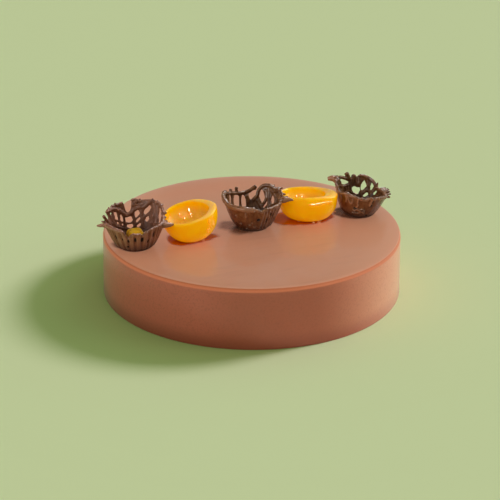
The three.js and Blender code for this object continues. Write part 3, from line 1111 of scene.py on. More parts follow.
@dataclass
class LaceBasket:
    """A basket of piped chocolate: closed at the front, open lace at the back."""

    node: str
    placement: Placement
    rim_radius: float
    crest: Outline
    windows: tuple[Outline, ...]
    strands: tuple[Strand, ...]
    tongues: tuple[Tongue, ...]
    spikes: tuple[Spike, ...]
    slits: tuple[Slit, ...]
    drips: tuple[Strand, ...] = ()
    ribs: tuple[float, ...] = ()
    finish: ChocolateFinish = ChocolateFinish()
    foot_radius: float = 9.5
    height: float = 25.0
    flare: float = 0.5
    wall: float = 1.2
    wall_bunch: float = 1.3
    strand_scale: float = 1.05
    window_margin: float = 0.62
    rim_girth: float = 2.6
    rim_wrinkle: float = 0.6
    rim_sunk: float = 0.3
    rim_reach: int = 96
    rim_step: int = 4
    rib_girth: float = 2.3
    rib_foot: float = 4.0
    rib_proud: float = 0.7
    rib_tooth: float = 0.5
    rib_tooth_spread: float = 1.4
    rib_lean: float = 2.5
    rib_uneven: float = 0.3
    rib_waist: float = 0.6
    drip_proud: float = 1.0
    # slits are pressed in and painted dark as shade, fading out towards their edges
    slit_deep: float = 0.8
    slit_slope: tuple[float, float] = (0.55, 1.0)
    slit_fade: tuple[float, float] = (0.65, 1.15)
    ridge_highlight_rise: tuple[float, float] = (0.15, 0.75)
    outside_least: float = 0.1
    least_steps: int = 8
    strand_steps: int = 6
    strand_sides: int = 10
    tongue_steps: int = 5
    tongue_sides: int = 12
    spike_steps: int = 6
    spike_taper: float = 0.62
    spike_curve: float = 1.4
    wall_steps: int = 64
    round_steps: int = 240
    voxel: float = 0.36
    smoothing: int = 3

    def build(self) -> bpy.types.Object:
        """Models the basket and dresses it.

        Returns:
            The basket.
        """
        work = Sculpture()
        self._rim(work)
        for azimuth in self.ribs:
            self._rib(work, azimuth)
        for girth, route in self.strands:
            piece = Strand(girth * self.strand_scale, route)
            self._strand(work, piece, piece.girth / 2 - self.wall / 2)
        for piece in self.drips:
            self._strand(work, piece, self.drip_proud)
        for piece in self.tongues:
            self._tongue(work, piece)
        for piece in self.spikes:
            self._spike(work, piece)
        work.join(self._cup())
        basket = work.piece(self.piece_name)
        self._melt(basket)
        return dress(basket, self.finish.material(), self.node)

    @property
    def piece_name(self) -> str:
        """Name of the basket's piece."""
        return f"{BASKET_PIECE}_{self.node}"

    def wall_radius(self, height: float) -> float:
        """Radius of the outer wall at a height."""
        rise = max(height, 0.0) / self.height
        return self.foot_radius + (self.rim_radius - self.foot_radius) * rise**self.flare

    def crest_height(self, azimuth: float) -> float:
        """Height of the wall's edge at an azimuth."""
        before, after, share = between(self.crest, azimuth)
        return before[1] + (after[1] - before[1]) * share

    def _cup(self) -> Sculpture:
        """Turns the wall up to its edge, cuts its gaps and gives it a thickness.

        Returns:
            The cup's mesh.
        """
        work = Sculpture()
        heights = [self.height * (i / self.wall_steps) ** self.wall_bunch for i in range(self.wall_steps + 1)]
        profile = [(0.0, 0.0), *((self.wall_radius(h), h) for h in heights)]
        for vert in work.turned(profile, self.round_steps):
            if vert.co.z > 0:
                azimuth = azimuth_of(vert.co)
                height = vert.co.z / self.height * self.crest_height(azimuth)
                vert.co = from_azimuth(azimuth, self.wall_radius(height), height)
        work.face_outwards()
        gaps = [f for f in work.bm.faces if self._in_gap(f.calc_center_median())]
        bmesh.ops.delete(work.bm, geom=gaps, context="FACES")
        bmesh.ops.solidify(work.bm, geom=list(work.bm.faces), thickness=self.wall)
        return work

    def _in_gap(self, point: Vector) -> bool:
        """Tells whether a point of the wall lies in a window.

        Args:
            point: The point.

        Returns:
            True in a window.
        """
        azimuth = azimuth_of(point) % 360
        return any(self._in_window(window, azimuth, point.z) for window in self.windows)

    def _in_window(self, window: Outline, azimuth: float, height: float) -> bool:
        """Tells whether a place lies in a window, which is cut wider than it shows after melting.

        Args:
            window: The window as it shows.
            azimuth: Azimuth of the place.
            height: Height of the place.

        Returns:
            True in the window.
        """
        middle = sum(a for a, _ in window) / len(window)
        level = sum(h for _, h in window) / len(window)
        across = math.radians(azimuth - middle) * self.wall_radius(level)
        reach = math.hypot(across, height - level)
        share = max(reach - self.window_margin, 0.0) / max(reach, MERGE)
        return inside(window, middle + (azimuth - middle) * share, level + (height - level) * share)

    def _rim(self, work: Sculpture) -> None:
        """Lays a rounded lip on the closed front's edge.

        Args:
            work: The mesh.
        """
        azimuths = range(-self.rim_reach, self.rim_reach + 1, self.rim_step)
        sunk = self.rim_sunk * self.rim_girth
        route = tuple((float(a), self.crest_height(a) - sunk) for a in azimuths)
        proud = (self.rim_girth - self.wall) / 2
        self._strand(work, Strand(self.rim_girth, route), proud, self.rim_wrinkle)

    def _rib(self, work: Sculpture, azimuth: float) -> None:
        """Runs one upright rib up the outside, with a tooth above the edge.

        Args:
            work: The mesh.
            azimuth: Where the rib stands.
        """
        tooth = self.rib_tooth + self.rib_tooth_spread * noise.noise(Vector((azimuth * 0.37, 2.1, 0.0)))
        lean = self.rib_lean * noise.noise(Vector((azimuth * 0.21, 7.7, 0.0)))
        uneven = self.rib_uneven * noise.noise(Vector((azimuth * 0.53, 4.4, 0.0)))
        top = self.crest_height(azimuth) + tooth
        route = ((azimuth - lean, self.rib_foot), (azimuth, top * self.rib_waist), (azimuth + lean, top))
        self._strand(work, Strand(self.rib_girth * (1 + uneven), route), self.rib_proud)

    def _strand(self, work: Sculpture, piece: Strand, proud: float, wrinkle: float = 0.2) -> None:
        """Pipes one strand along the wall.

        Args:
            work: The mesh.
            piece: The strand.
            proud: How far it stands out of the wall's outside.
            wrinkle: How uneven its girth is.
        """
        count = max(self.least_steps, self.strand_steps * (len(piece.route) - 1))
        seed = 3.7 * piece.route[0][0] + piece.girth
        stations = []
        for i in range(count + 1):
            azimuth, height = along_spline(piece.route, i / count)
            uneven = wrinkle * noise.noise(Vector((seed, 0.45 * i, height * 0.1)))
            radius = self.wall_radius(height) - piece.girth / 2 + proud
            point, outward = from_azimuth(azimuth, radius, height), from_azimuth(azimuth, 1.0, 0.0)
            stations.append(Station(point, outward, piece.girth * (1 + uneven)))
        work.sweep(stations, self.strand_sides)

    def _tongue(self, work: Sculpture, piece: Tongue) -> None:
        """Draws one free end of chocolate.

        Args:
            work: The mesh.
            piece: The free end.
        """
        count = self.tongue_steps * (len(piece.route) - 1)
        girths = tuple((g, 0.0) for g in piece.girths)
        stations = []
        for i in range(count + 1):
            point = along_spline(piece.route, i / count)
            stations.append(Station(point, UP, along_spline(girths, i / count).x))
        work.sweep(stations, self.tongue_sides)

    def _spike(self, work: Sculpture, piece: Spike) -> None:
        """Pulls one spike out of the wall.

        Args:
            work: The mesh.
            piece: The spike.
        """
        root = from_azimuth(piece.azimuth, self.wall_radius(piece.height) - piece.girth / 2, piece.height)
        way = from_azimuth(piece.heading, piece.length, piece.rise)
        stations = []
        for i in range(self.spike_steps + 1):
            share = i / self.spike_steps
            girth = piece.girth * (1 - self.spike_taper * share**self.spike_curve)
            stations.append(Station(root + way * share, UP, girth))
        work.sweep(stations, self.strand_sides)

    def _melt(self, basket: bpy.types.Object) -> None:
        """Fuses the strands and the cup into one skin and sets it in place.

        Args:
            basket: The basket, in its own frame.
        """
        remesh = basket.modifiers.new("melt", "REMESH")
        remesh.mode = "VOXEL"
        remesh.voxel_size = self.voxel
        soften = basket.modifiers.new("soften", "SMOOTH")
        soften.factor = 0.5
        soften.iterations = self.smoothing
        settle(basket)
        work = Sculpture(basket.data)
        self._mark_wall(work.bm)
        work.store(basket.data)
        self.placement.seat(basket)

    def _mark_wall(self, bm: bmesh.types.BMesh) -> None:
        """Presses the slits into the wall's outside, and marks them for painted shade and the ridges for
        painted highlights.

        Args:
            bm: The melted basket, in its own frame.
        """
        shade = bm.verts.layers.float.new(SLIT_SHADE)
        ridge = bm.verts.layers.float.new(PAINTED_RIDGE_HIGHLIGHT)
        bm.normal_update()
        for vert in bm.verts:
            azimuth = azimuth_of(vert.co)
            outward = from_azimuth(azimuth, 1.0, 0.0)
            if vert.normal.dot(outward) <= self.outside_least:
                continue
            proud = vert.co.xy.length - self.wall_radius(vert.co.z)
            # how far the wall stands proud sets its painted highlight
            vert[ridge] = smoothstep(proud, *self.ridge_highlight_rise)
            for slit in self.slits:
                turned = (azimuth - slit.azimuth + 180) % 360 - 180
                sideways = math.radians(turned) * vert.co.xy.length / (slit.width / 2)
                share = math.hypot(sideways, (vert.co.z - slit.height) / (slit.tall / 2))
                if share < self.slit_fade[1]:
                    vert[shade] = max(vert[shade], 1 - smoothstep(share, *self.slit_fade))
                    vert.co -= self.slit_deep * (1 - smoothstep(share, *self.slit_slope)) * outward


LEFT_BASKET = LaceBasket(
    node="basket_left",
    placement=Placement(along=-98.4, across=0.5, lean_forward=7, lean_right=-2),
    rim_radius=24,
    crest=(
        (1, 23.2), (8, 22.8), (15, 21.8), (17, 20.6), (20, 20.8), (22, 23.2), (28, 23.4), (36, 24.7),
        (46, 25.2), (62, 24.1), (84, 23.0), (104, 25.0), (114, 27.2), (120, 29.0), (127, 29.6), (134, 29.3),
        (140, 29.7), (147, 29.8), (153, 29.0), (160, 28.0), (170, 27.8), (176, 28.1), (180, 28.8),
        (185, 28.8), (188, 27.6), (189.8, 24.5), (190.5, 21.8), (192.5, 19.6), (198, 18.5), (202, 19.6),
        (203.5, 22.0), (204, 25.6), (205, 27.0), (210, 27.3), (216, 27.0), (223, 27.5), (230, 27.8),
        (238, 26.6), (248, 25.8), (250.5, 21.5), (257, 18.4), (266, 19.0), (276, 21.0), (288, 23.0),
        (302, 25.2), (315, 26.2), (328, 26.0), (337, 25.7), (342, 24.6), (344, 22.0), (346, 18.6),
        (350, 17.8), (353.5, 18.8), (356, 22.0),
    ),
    windows=(
        ((230.1, 21.5), (224.1, 21.0), (224.5, 17.1), (226.4, 12.5), (230.4, 13.0), (230.5, 16.7)),
        ((235.8, 23.4), (236.6, 19.0), (240.2, 22.4)),
        ((216.1, 19.0), (212.9, 17.9), (213.1, 13.8), (214.3, 10.3), (217.9, 10.8), (217.1, 15.0)),
        ((204.8, 15.1), (191.5, 15.2), (190.6, 12.2), (195.7, 11.0), (204.6, 11.5), (206.5, 13.3)),
        ((203.8, 9.7), (195.0, 9.8), (190.0, 9.1), (192.0, 7.7), (199.7, 7.0), (204.8, 7.9)),
        (
            (182.9, 17.9), (179.4, 19.4), (175.5, 19.0), (174.0, 17.1), (177.3, 15.2), (181.1, 14.4),
            (183.2, 16.0),
        ),
        ((172.6, 14.4), (172.5, 12.6), (177.6, 10.6), (181.1, 10.9), (178.9, 12.8)),
        ((170.7, 9.8), (171.0, 8.2), (176.6, 7.3), (179.4, 7.8), (175.2, 9.3)),
        (
            (151.1, 24.4), (147.1, 22.7), (148.5, 20.4), (155.4, 18.3), (158.5, 16.3), (162.5, 17.7),
            (161.6, 19.7), (156.4, 22.0),
        ),
        ((151.9, 15.8), (150.3, 14.2), (153.5, 11.8), (157.5, 12.6), (155.8, 14.3)),
        (
            (125.3, 25.9), (116.5, 23.9), (109.6, 21.0), (108.0, 17.0), (114.9, 15.4), (122.2, 18.9),
            (123.8, 22.7),
        ),
    ),
    strands=(
        strand(
            3.4, (246, 25.6), (233, 25.4), (223.4, 23.9), (215.4, 21.3), (207.7, 18.4), (200.6, 16.8),
            (191.8, 17.7), (183.5, 20.5), (173.9, 22.0), (163.2, 22.7), (155.0, 25.9), (146.4, 28.3),
        ),
        strand(2.6, (231.1, 27.0), (221.1, 26.6), (209.9, 26.5), (205.5, 26.6)),
        strand(2.4, (188.0, 26.9), (185.2, 28.0), (179.5, 27.7)),
        strand(2.6, (185.7, 25.3), (177.7, 26.7), (165.7, 26.9), (153.3, 28.0), (142, 28.6), (130.8, 28.6)),
        strand(2.8, (189, 23.5), (181.9, 24.2), (169.7, 24.4), (157.4, 26.9)),
        strand(
            1.6, (242.3, 18.9), (229.5, 15.5), (219.9, 13.2), (210.2, 11.4), (199.9, 10.5), (189.3, 10.8),
            (180.6, 13.3), (171.7, 16.1), (165.1, 19.9),
        ),
        strand(2.0, (253.4, 18.4), (238.3, 12.5), (225.2, 9.3), (211.6, 7.3), (200.2, 6.3)),
        strand(
            2.0, (187.7, 7.8), (176.6, 10.0), (167.8, 12.9), (160.2, 15.3), (150.5, 18.8), (144.6, 23.3),
        ),
        strand(2.0, (231.9, 23.8), (238.8, 19.2), (243.8, 15.0)),
        strand(1.8, (220.4, 21.3), (221.1, 15.9), (222.5, 10.7)),
        strand(1.9, (208.1, 17.6), (209.3, 13.1), (209.7, 8.1)),
        strand(1.9, (186.4, 18.7), (186.3, 13.4), (185.9, 8.3)),
        strand(2.6, (168.5, 20.6), (167.8, 14.9), (164.4, 9.8), (159.9, 6.4)),
        strand(3.2, (142.8, 27.1), (138.7, 19.9), (138.1, 11.4)),
        strand(2.6, (135.0, 27.6), (130.5, 20.2), (125.5, 12.8)),
        strand(2.2, (116.8, 27.5), (104.5, 24.5), (90, 21.7)),
        strand(2.6, (248.5, 26.4), (245.2, 22), (243, 17.4), (240, 13.6)),
        strand(2.4, (269, 27.0), (264.5, 23.6), (259.5, 19.8), (255, 16.0)),
        strand(3.0, (288, 22.6), (302, 24.8), (315, 25.6), (328, 25.4), (338, 25.0)),
    ),
    tongues=(
        Tongue(
            (4.0, 4.8, 4.6, 3.6, 1.4),
            ((19, -6.6, 20.0), (23.4, -6.4, 21.4), (27.3, -6.4, 21.4), (31.2, -6.4, 21.9)),
        ),
        Tongue((3.2, 3.2, 1.6), ((20.1, -3.6, 20.3), (23.3, -3.3, 22.3), (26.2, -3.2, 23.1))),
        Tongue(
            (3.6, 3.2, 2.6, 1.2),
            ((-21.5, -2.7, 19.4), (-24.6, -2.5, 20.3), (-27.0, -2.6, 20.1), (-29.6, -2.6, 20.0)),
        ),
        Tongue((2.4, 2.0, 1.0), ((-21.7, 0.4, 19.5), (-24.0, 0.6, 21.3), (-26.1, 0.7, 22.1))),
        Tongue((3.4, 3.2, 1.8), ((21.0, 6.0, 24.3), (23.0, 6.1, 25.1), (25.2, 6.2, 25.6))),
        Tongue((3.0, 2.8, 1.4), ((21.1, 2.8, 22.3), (23.1, 2.9, 23.1), (25.0, 2.8, 22.8))),
    ),
    spikes=(
        Spike(2.8, 145, 28.6, 150, 0.6, 2.6), Spike(2.6, 136, 28.2, 110, 1.6, 2.2),
        Spike(3.2, 124, 27.6, 100, 3.4, 1.2), Spike(2.4, 172, 27.0, 170, 0.8, 2.2),
        Spike(2.4, 240, 26.4, 235, 1.0, 2.0), Spike(2.4, 222, 27.0, 220, 0.8, 2.0),
    ),
    slits=(
        Slit(-39, 17.6, 1.6, 4.8), Slit(-23.3, 16.8, 1.3, 3.2), Slit(-10.4, 15.8, 2.0, 4.2),
        Slit(4.2, 17.0, 2.0, 5.2), Slit(18.3, 16.4, 2.6, 5.4), Slit(33, 13.3, 1.3, 4.2),
        Slit(45.2, 18.4, 1.7, 6.8), Slit(-14.3, 9.4, 1.7, 2.5),
    ),
    ribs=(
        -84, -76, -68, -60, -52, -45.5, -33, -29, -18.5, -15.5, -5.5, -1.5, 9.5, 13, 24, 28, 38, 51, 58, 66,
        74, 82,
    ),
    rim_girth=2.0,
    finish=ChocolateFinish("dull_dark_chocolate", dark=srgb("65381f"), light=srgb("8e583d"), shine=0.4),
)

MIDDLE_BASKET = LaceBasket(
    node="basket_middle",
    placement=Placement(along=1.8, across=3.8, lean_forward=1, lean_right=1.5),
    rim_radius=24.4,
    crest=(
        (5, 24.8), (12, 23.8), (16.5, 22.4), (21.5, 23.4), (27, 24.5), (34, 24.9), (46, 25.3), (62, 25.4),
        (80, 25.6), (100, 26.6), (112, 27.8), (120, 28.3), (130, 28.4), (139, 28.0), (147, 28.8),
        (155, 28.4), (163, 27.4), (167, 26.0), (170, 24.6), (177, 25.6), (182.5, 24.4), (189, 23.0),
        (197, 22.2), (206, 21.8), (218, 22.4), (229, 23.4), (238, 24.6), (249, 26.0), (264, 27.4),
        (277, 27.6), (290, 26.0), (305, 24.0), (320, 24.4), (335, 25.2), (347, 25.4), (356, 25.3),
    ),
    windows=(
        ((238.8, 21.6), (234.8, 21.0), (236.5, 17.0), (240.1, 13.7), (245.0, 14.2), (241.4, 18.3)),
        ((223.1, 19.7), (213.8, 19.0), (213.0, 16.6), (216.0, 11.3), (230.1, 11.9), (230.1, 15.5)),
        ((204.5, 18.4), (199.8, 18.0), (198.2, 14.7), (197.7, 10.3), (207.5, 10.6), (207.2, 14.7)),
        (
            (188.8, 19.9), (182.3, 20.6), (175.1, 22.4), (171, 26.5), (167.4, 26.5), (173.0, 20.6),
            (177.6, 17.7), (180.9, 15.7), (185.5, 15.7), (188.9, 17.6),
        ),
        (
            (162.5, 23.3), (159.7, 22.2), (154.8, 18.2), (153.8, 15.2), (156.5, 13.0), (160.2, 14.8),
            (164.2, 17.3), (166.5, 19.2), (164.8, 21.6),
        ),
        ((148.0, 15.4), (144.4, 13.9), (147.1, 11.8), (150.4, 9.9), (154.2, 10.2), (150.9, 12.7)),
        (
            (134.0, 20.7), (128.7, 19.1), (125.1, 17.1), (126.6, 15.3), (132.0, 15.8), (135.5, 17.9),
            (135.6, 19.7),
        ),
    ),
    strands=(
        strand(
            2.9, (272, 26.8), (257, 25.4), (243, 23.8), (227.2, 22.2), (214.1, 20.9), (202.2, 20.5),
            (193.1, 21.2), (184.5, 22.8), (178.5, 24.6), (174.6, 25.9),
        ),
        strand(2.4, (251.4, 25.2), (248.5, 27.2)),
        strand(2.4, (232.3, 23.0), (229.4, 25.8)),
        strand(2.6, (214.7, 21.4), (216.1, 23.8), (214.3, 26.0)),
        strand(2.4, (228.5, 21.0), (236.7, 13.0)),
        strand(2.1, (208.3, 19.4), (212.2, 11.1)),
        strand(3.0, (193.3, 19.2), (192.5, 15.0), (191.1, 9.7)),
        strand(1.6, (185.9, 10.0), (181.9, 13.0), (177.5, 13.6), (173.0, 11.3), (167.6, 8.5)),
        strand(
            3.0, (179.6, 14.6), (171.0, 18.2), (168.7, 22.2), (165.0, 24.9), (158.5, 27.0), (148.0, 27.8),
            (138.2, 27.5),
        ),
        strand(2.8, (170.4, 15.9), (164.9, 13.1), (159.1, 11.0), (154.9, 9.0)),
        strand(2.5, (154.7, 24.2), (149.5, 19.4), (149.5, 16.3), (153.6, 12.6), (157.2, 10.0)),
        strand(3.2, (146.9, 26.0), (143.4, 19.9), (138.6, 14.8), (138.0, 10.9)),
        strand(2.4, (143.7, 24.7), (131.5, 23.2), (122.1, 19.9), (117.7, 16.3)),
        strand(2.4, (140.3, 27.1), (128.2, 26.1), (119.7, 23.5)),
        strand(2.2, (124, 27.6), (115, 24.6), (108, 20.0)),
        strand(
            4.2, (-78, 25.6), (-66, 24.4), (-54, 23.2), (-40, 23.3), (-25, 23.9), (-10, 24.1), (3, 24.4),
        ),
        strand(3.6, (-106, 26.0), (-94, 25.6), (-84, 24.8), (-72, 24.4)),
    ),
    tongues=(
        Tongue(
            (3.4, 5.4, 5.0, 3.2, 1.0),
            ((20.5, -5.5, 25.0), (24.5, -5.5, 26.4), (28.2, -5.5, 26.9), (32.4, -5.5, 26.4)),
        ),
        Tongue((3.0, 2.4, 1.0), ((20.6, -1.0, 24.4), (21.2, 0.5, 26.8), (22.1, 0.5, 28.8))),
        Tongue((2.6, 2.4, 1.0), ((15.7, 12.6, 28.4), (19.0, 12.6, 28.0), (22.2, 12.5, 27.6))),
        Tongue((2.6, 2.4, 1.0), ((16.4, 11.5, 26.2), (19.6, 11.5, 26.6), (23.2, 11.5, 26.3))),
    ),
    spikes=(
        Spike(3.2, 128, 27.4, 102, 5.6, 0.8), Spike(3.2, 112, 26.0, 92, 5.0, -0.6),
        Spike(3.0, 97, 24.4, 84, 5.6, 2.0), Spike(2.6, 141, 27.4, 120, 3.0, 1.6),
    ),
    slits=(
        Slit(12.8, 14.4, 3.2, 3.2), Slit(47, 17, 1.3, 4.6), Slit(39.5, 18.5, 1.3, 3.8),
        Slit(33, 13, 1.3, 4.6),
    ),
    drips=(
        strand(1.8, (345, 20.5), (345.2, 16)), strand(1.8, (351, 9), (356.5, 9)),
        strand(1.8, (362, 7), (368, 7)), strand(1.8, (326, 3), (333, 3)), strand(1.6, (327, 9.2), (333, 9)),
        strand(1.6, (341.5, 4.6), (347.5, 4.6)), strand(1.6, (319.5, 3.9), (324.5, 4.1)),
        strand(1.6, (322, 17), (325, 15)), strand(1.6, (357, 11.3), (361, 11.2)),
    ),
    ribs=(21, 28.5, 36, 43, 51, 58, 66),
    rim_girth=2.5,
    rib_girth=1.7,
    rib_proud=0.5,
    finish=ChocolateFinish(name="glossy_dark_chocolate", shine=0.08),
)

RIGHT_BASKET = LaceBasket(
    node="basket_right",
    placement=Placement(along=93.5, across=-0.2, lean_forward=2, lean_right=9),
    rim_radius=22.8,
    crest=(
        (9, 22.1), (14, 24.2), (18, 23.2), (22, 23.2), (31, 23.8), (42, 23.8), (52, 23.4), (64, 21.8),
        (78, 20.4), (92, 20.0), (108, 20.2), (120, 19.6), (128, 19.4), (136, 19.8), (141, 21.3),
        (146, 22.7), (151, 23.8), (159, 24.9), (167, 25.5), (176, 25.8), (182, 25.6), (185.5, 24.2),
        (188.2, 23.0), (192, 24.4), (197, 25.2), (200.5, 24.2), (203, 21.5), (206, 22.0), (212, 23.0),
        (222, 23.8), (237, 25.5), (253, 27.0), (268, 27.0), (280, 24.4), (292, 21.2), (305, 20.8),
        (318, 23.2), (326, 23.8), (333, 22.8), (342, 23.4), (351, 22.4),
    ),
    windows=(
        (
            (233.3, 23.1), (222.6, 21.6), (208.9, 19.8), (207.1, 18.7), (213.2, 17.2), (223.0, 17.5),
            (230.3, 18.6), (234.3, 21.0),
        ),
        (
            (197.0, 14.2), (192.9, 15.1), (187.4, 14.8), (183.1, 14.3), (177.9, 14.8), (177.2, 12.4),
            (179.9, 9.9), (186.6, 9.6), (193.3, 11.1), (197.2, 12.6),
        ),
        (
            (170.2, 21.0), (165.8, 18.8), (163.1, 17.0), (166.4, 15.0), (170.3, 13.0), (174.0, 13.7),
            (174.8, 16.5), (173.2, 18.8),
        ),
        (
            (152.5, 21.3), (148.9, 20.1), (145.5, 18.4), (146.6, 16.9), (147.2, 15.3), (150.3, 15.2),
            (151.7, 17.7), (152.6, 19.8),
        ),
        ((153.9, 13.2), (151.2, 11.6), (156.0, 9.8), (161.1, 8.6), (164.5, 9.4), (159.0, 11.3)),
        ((134.6, 16.6), (131.6, 15.5), (134.0, 13.1), (136.9, 12.6), (138.1, 14.2)),
    ),
    strands=(
        strand(3.0, (268, 25.8), (254, 25.8), (241.7, 24.8), (222.5, 22.7), (207.6, 20.6)),
        strand(3.8, (206.6, 20.6), (210.8, 23.7), (214, 26.2)),
        strand(2.4, (236, 21), (234, 16), (231, 11.5)),
        strand(2.4, (211.6, 16), (210.2, 11)),
        strand(2.4, (228.5, 16), (226.5, 11)),
        strand(3.4, (262, 25.5), (254, 21.6), (247.5, 15.6), (233.9, 11.3)),
        strand(2.8, (240.0, 17.4), (230, 16.0), (219.8, 15.9), (207.2, 16.7)),
        strand(2.4, (219.8, 16.1), (216.0, 11.2)),
        strand(3.0, (203.5, 21.7), (203.0, 15.7), (201.1, 10.2)),
        strand(2.6, (196.9, 24.4), (197.5, 19.8), (198.5, 16.2)),
        strand(2.6, (196.2, 24.4), (189.7, 20.7), (186.9, 16.4)),
        strand(3.0, (181.9, 24.5), (181.5, 20.2), (181.2, 16.4)),
        strand(
            3.0, (180.8, 24.5), (170.5, 24.4), (160.8, 23.6), (151.1, 22.6), (142.1, 20.4), (134.2, 18.2),
        ),
        strand(2.6, (165.0, 23.0), (158.5, 18.7), (156.9, 15.5), (148.8, 12.6)),
        strand(2.0, (175.4, 12.0), (172.7, 10.6), (167.1, 8.6)),
        strand(2.1, (169.7, 10.6), (162.0, 13.1), (156.5, 16.0)),
        strand(2.1, (146.4, 10.9), (142.8, 14.3), (139.9, 17.8)),
        strand(3.2, (128, 18.2), (116, 18.0), (104, 18.6), (90, 18.8)),
        strand(2.6, (122, 9), (119, 18)),
        strand(2.6, (106, 12), (104, 18)),
    ),
    tongues=(
        Tongue(
            (5.4, 5.6, 4.6, 3.0),
            ((-20.5, 2.4, 24.4), (-23.4, 2.8, 26.0), (-26.2, 2.9, 25.7), (-28.8, 2.9, 24.8)),
        ),
    ),
    spikes=(
        Spike(2.8, 130, 18.4, 108, 7.0, 1.8), Spike(2.6, 124, 18.0, 104, 7.6, 2.6),
        Spike(2.5, 118, 18.2, 100, 7.0, 2.8), Spike(2.6, 112, 18.0, 98, 7.0, 2.4),
        Spike(2.8, 128, 17.2, 104, 8.4, 2.2), Spike(2.8, 120, 17.0, 100, 8.4, 2.4),
        Spike(2.8, 112, 16.8, 96, 8.0, 1.8), Spike(2.8, 104, 17.4, 92, 7.0, 2.0),
        Spike(2.6, 124, 15.4, 102, 9.0, 0.8), Spike(2.6, 115, 15.2, 97, 8.6, 0.4),
        Spike(2.6, 106, 15.6, 93, 7.4, 0.2), Spike(2.6, 98, 17.0, 88, 6.4, 0.6),
        Spike(2.6, 137, 20.0, 140, 1.2, 3.4),
    ),
    slits=(
        Slit(24, 20, 2.0, 3.2), Slit(25.2, 15.7, 2.0, 3.0), Slit(-13, 11.8, 3.4, 2.0),
        Slit(5, 10.6, 2.8, 1.6), Slit(24, 5.4, 2.4, 1.6),
    ),
    drips=(
        strand(1.5, (358, 23), (351.5, 21.6), (350.2, 17.3), (352, 14.4), (347.7, 11.8)),
        strand(1.5, (327, 21), (328.8, 19), (332.4, 16.2), (337.6, 15.9), (338.9, 20.1)),
        strand(1.6, (320, 22), (323.7, 18.8), (322.9, 14.8)),
        strand(1.5, (341.4, 10.4), (346.5, 9.0), (352.2, 11.2), (359.5, 10.0), (364.8, 11.6), (371, 10.0)),
        strand(1.5, (339.4, 6.6), (348.2, 6.9), (358.2, 7.2), (363.6, 9.0), (373.3, 7.9)),
        strand(1.8, (296.5, 21.7), (299.8, 18.6), (307.2, 17.1), (302, 12.3)),
        strand(1.7, (371.8, 22), (373, 23.8), (376.7, 24.2), (380.5, 22.6), (379.5, 19), (380, 15.7)),
        strand(1.7, (386.8, 22), (388, 23.6), (393.9, 23.6), (399.5, 21.6)),
    ),
    rim_girth=2.6,
    drip_proud=1.3,
    window_margin=0.42,
    finish=ChocolateFinish(name="glossy_dark_chocolate", shine=0.08),
)

BASKETS = (LEFT_BASKET, MIDDLE_BASKET, RIGHT_BASKET)


# The apricot halves


class Face(Enum):
    """A side of an apricot half."""

    SKIN = "skin"
    HOLLOW = "hollow"


class Drop(NamedTuple):
    """A drop of syrup on an apricot half: where it hangs, and its sizes along the rim and down the wall."""

    face: Face
    azimuth: float
    turn: float
    along: float
    upright: float


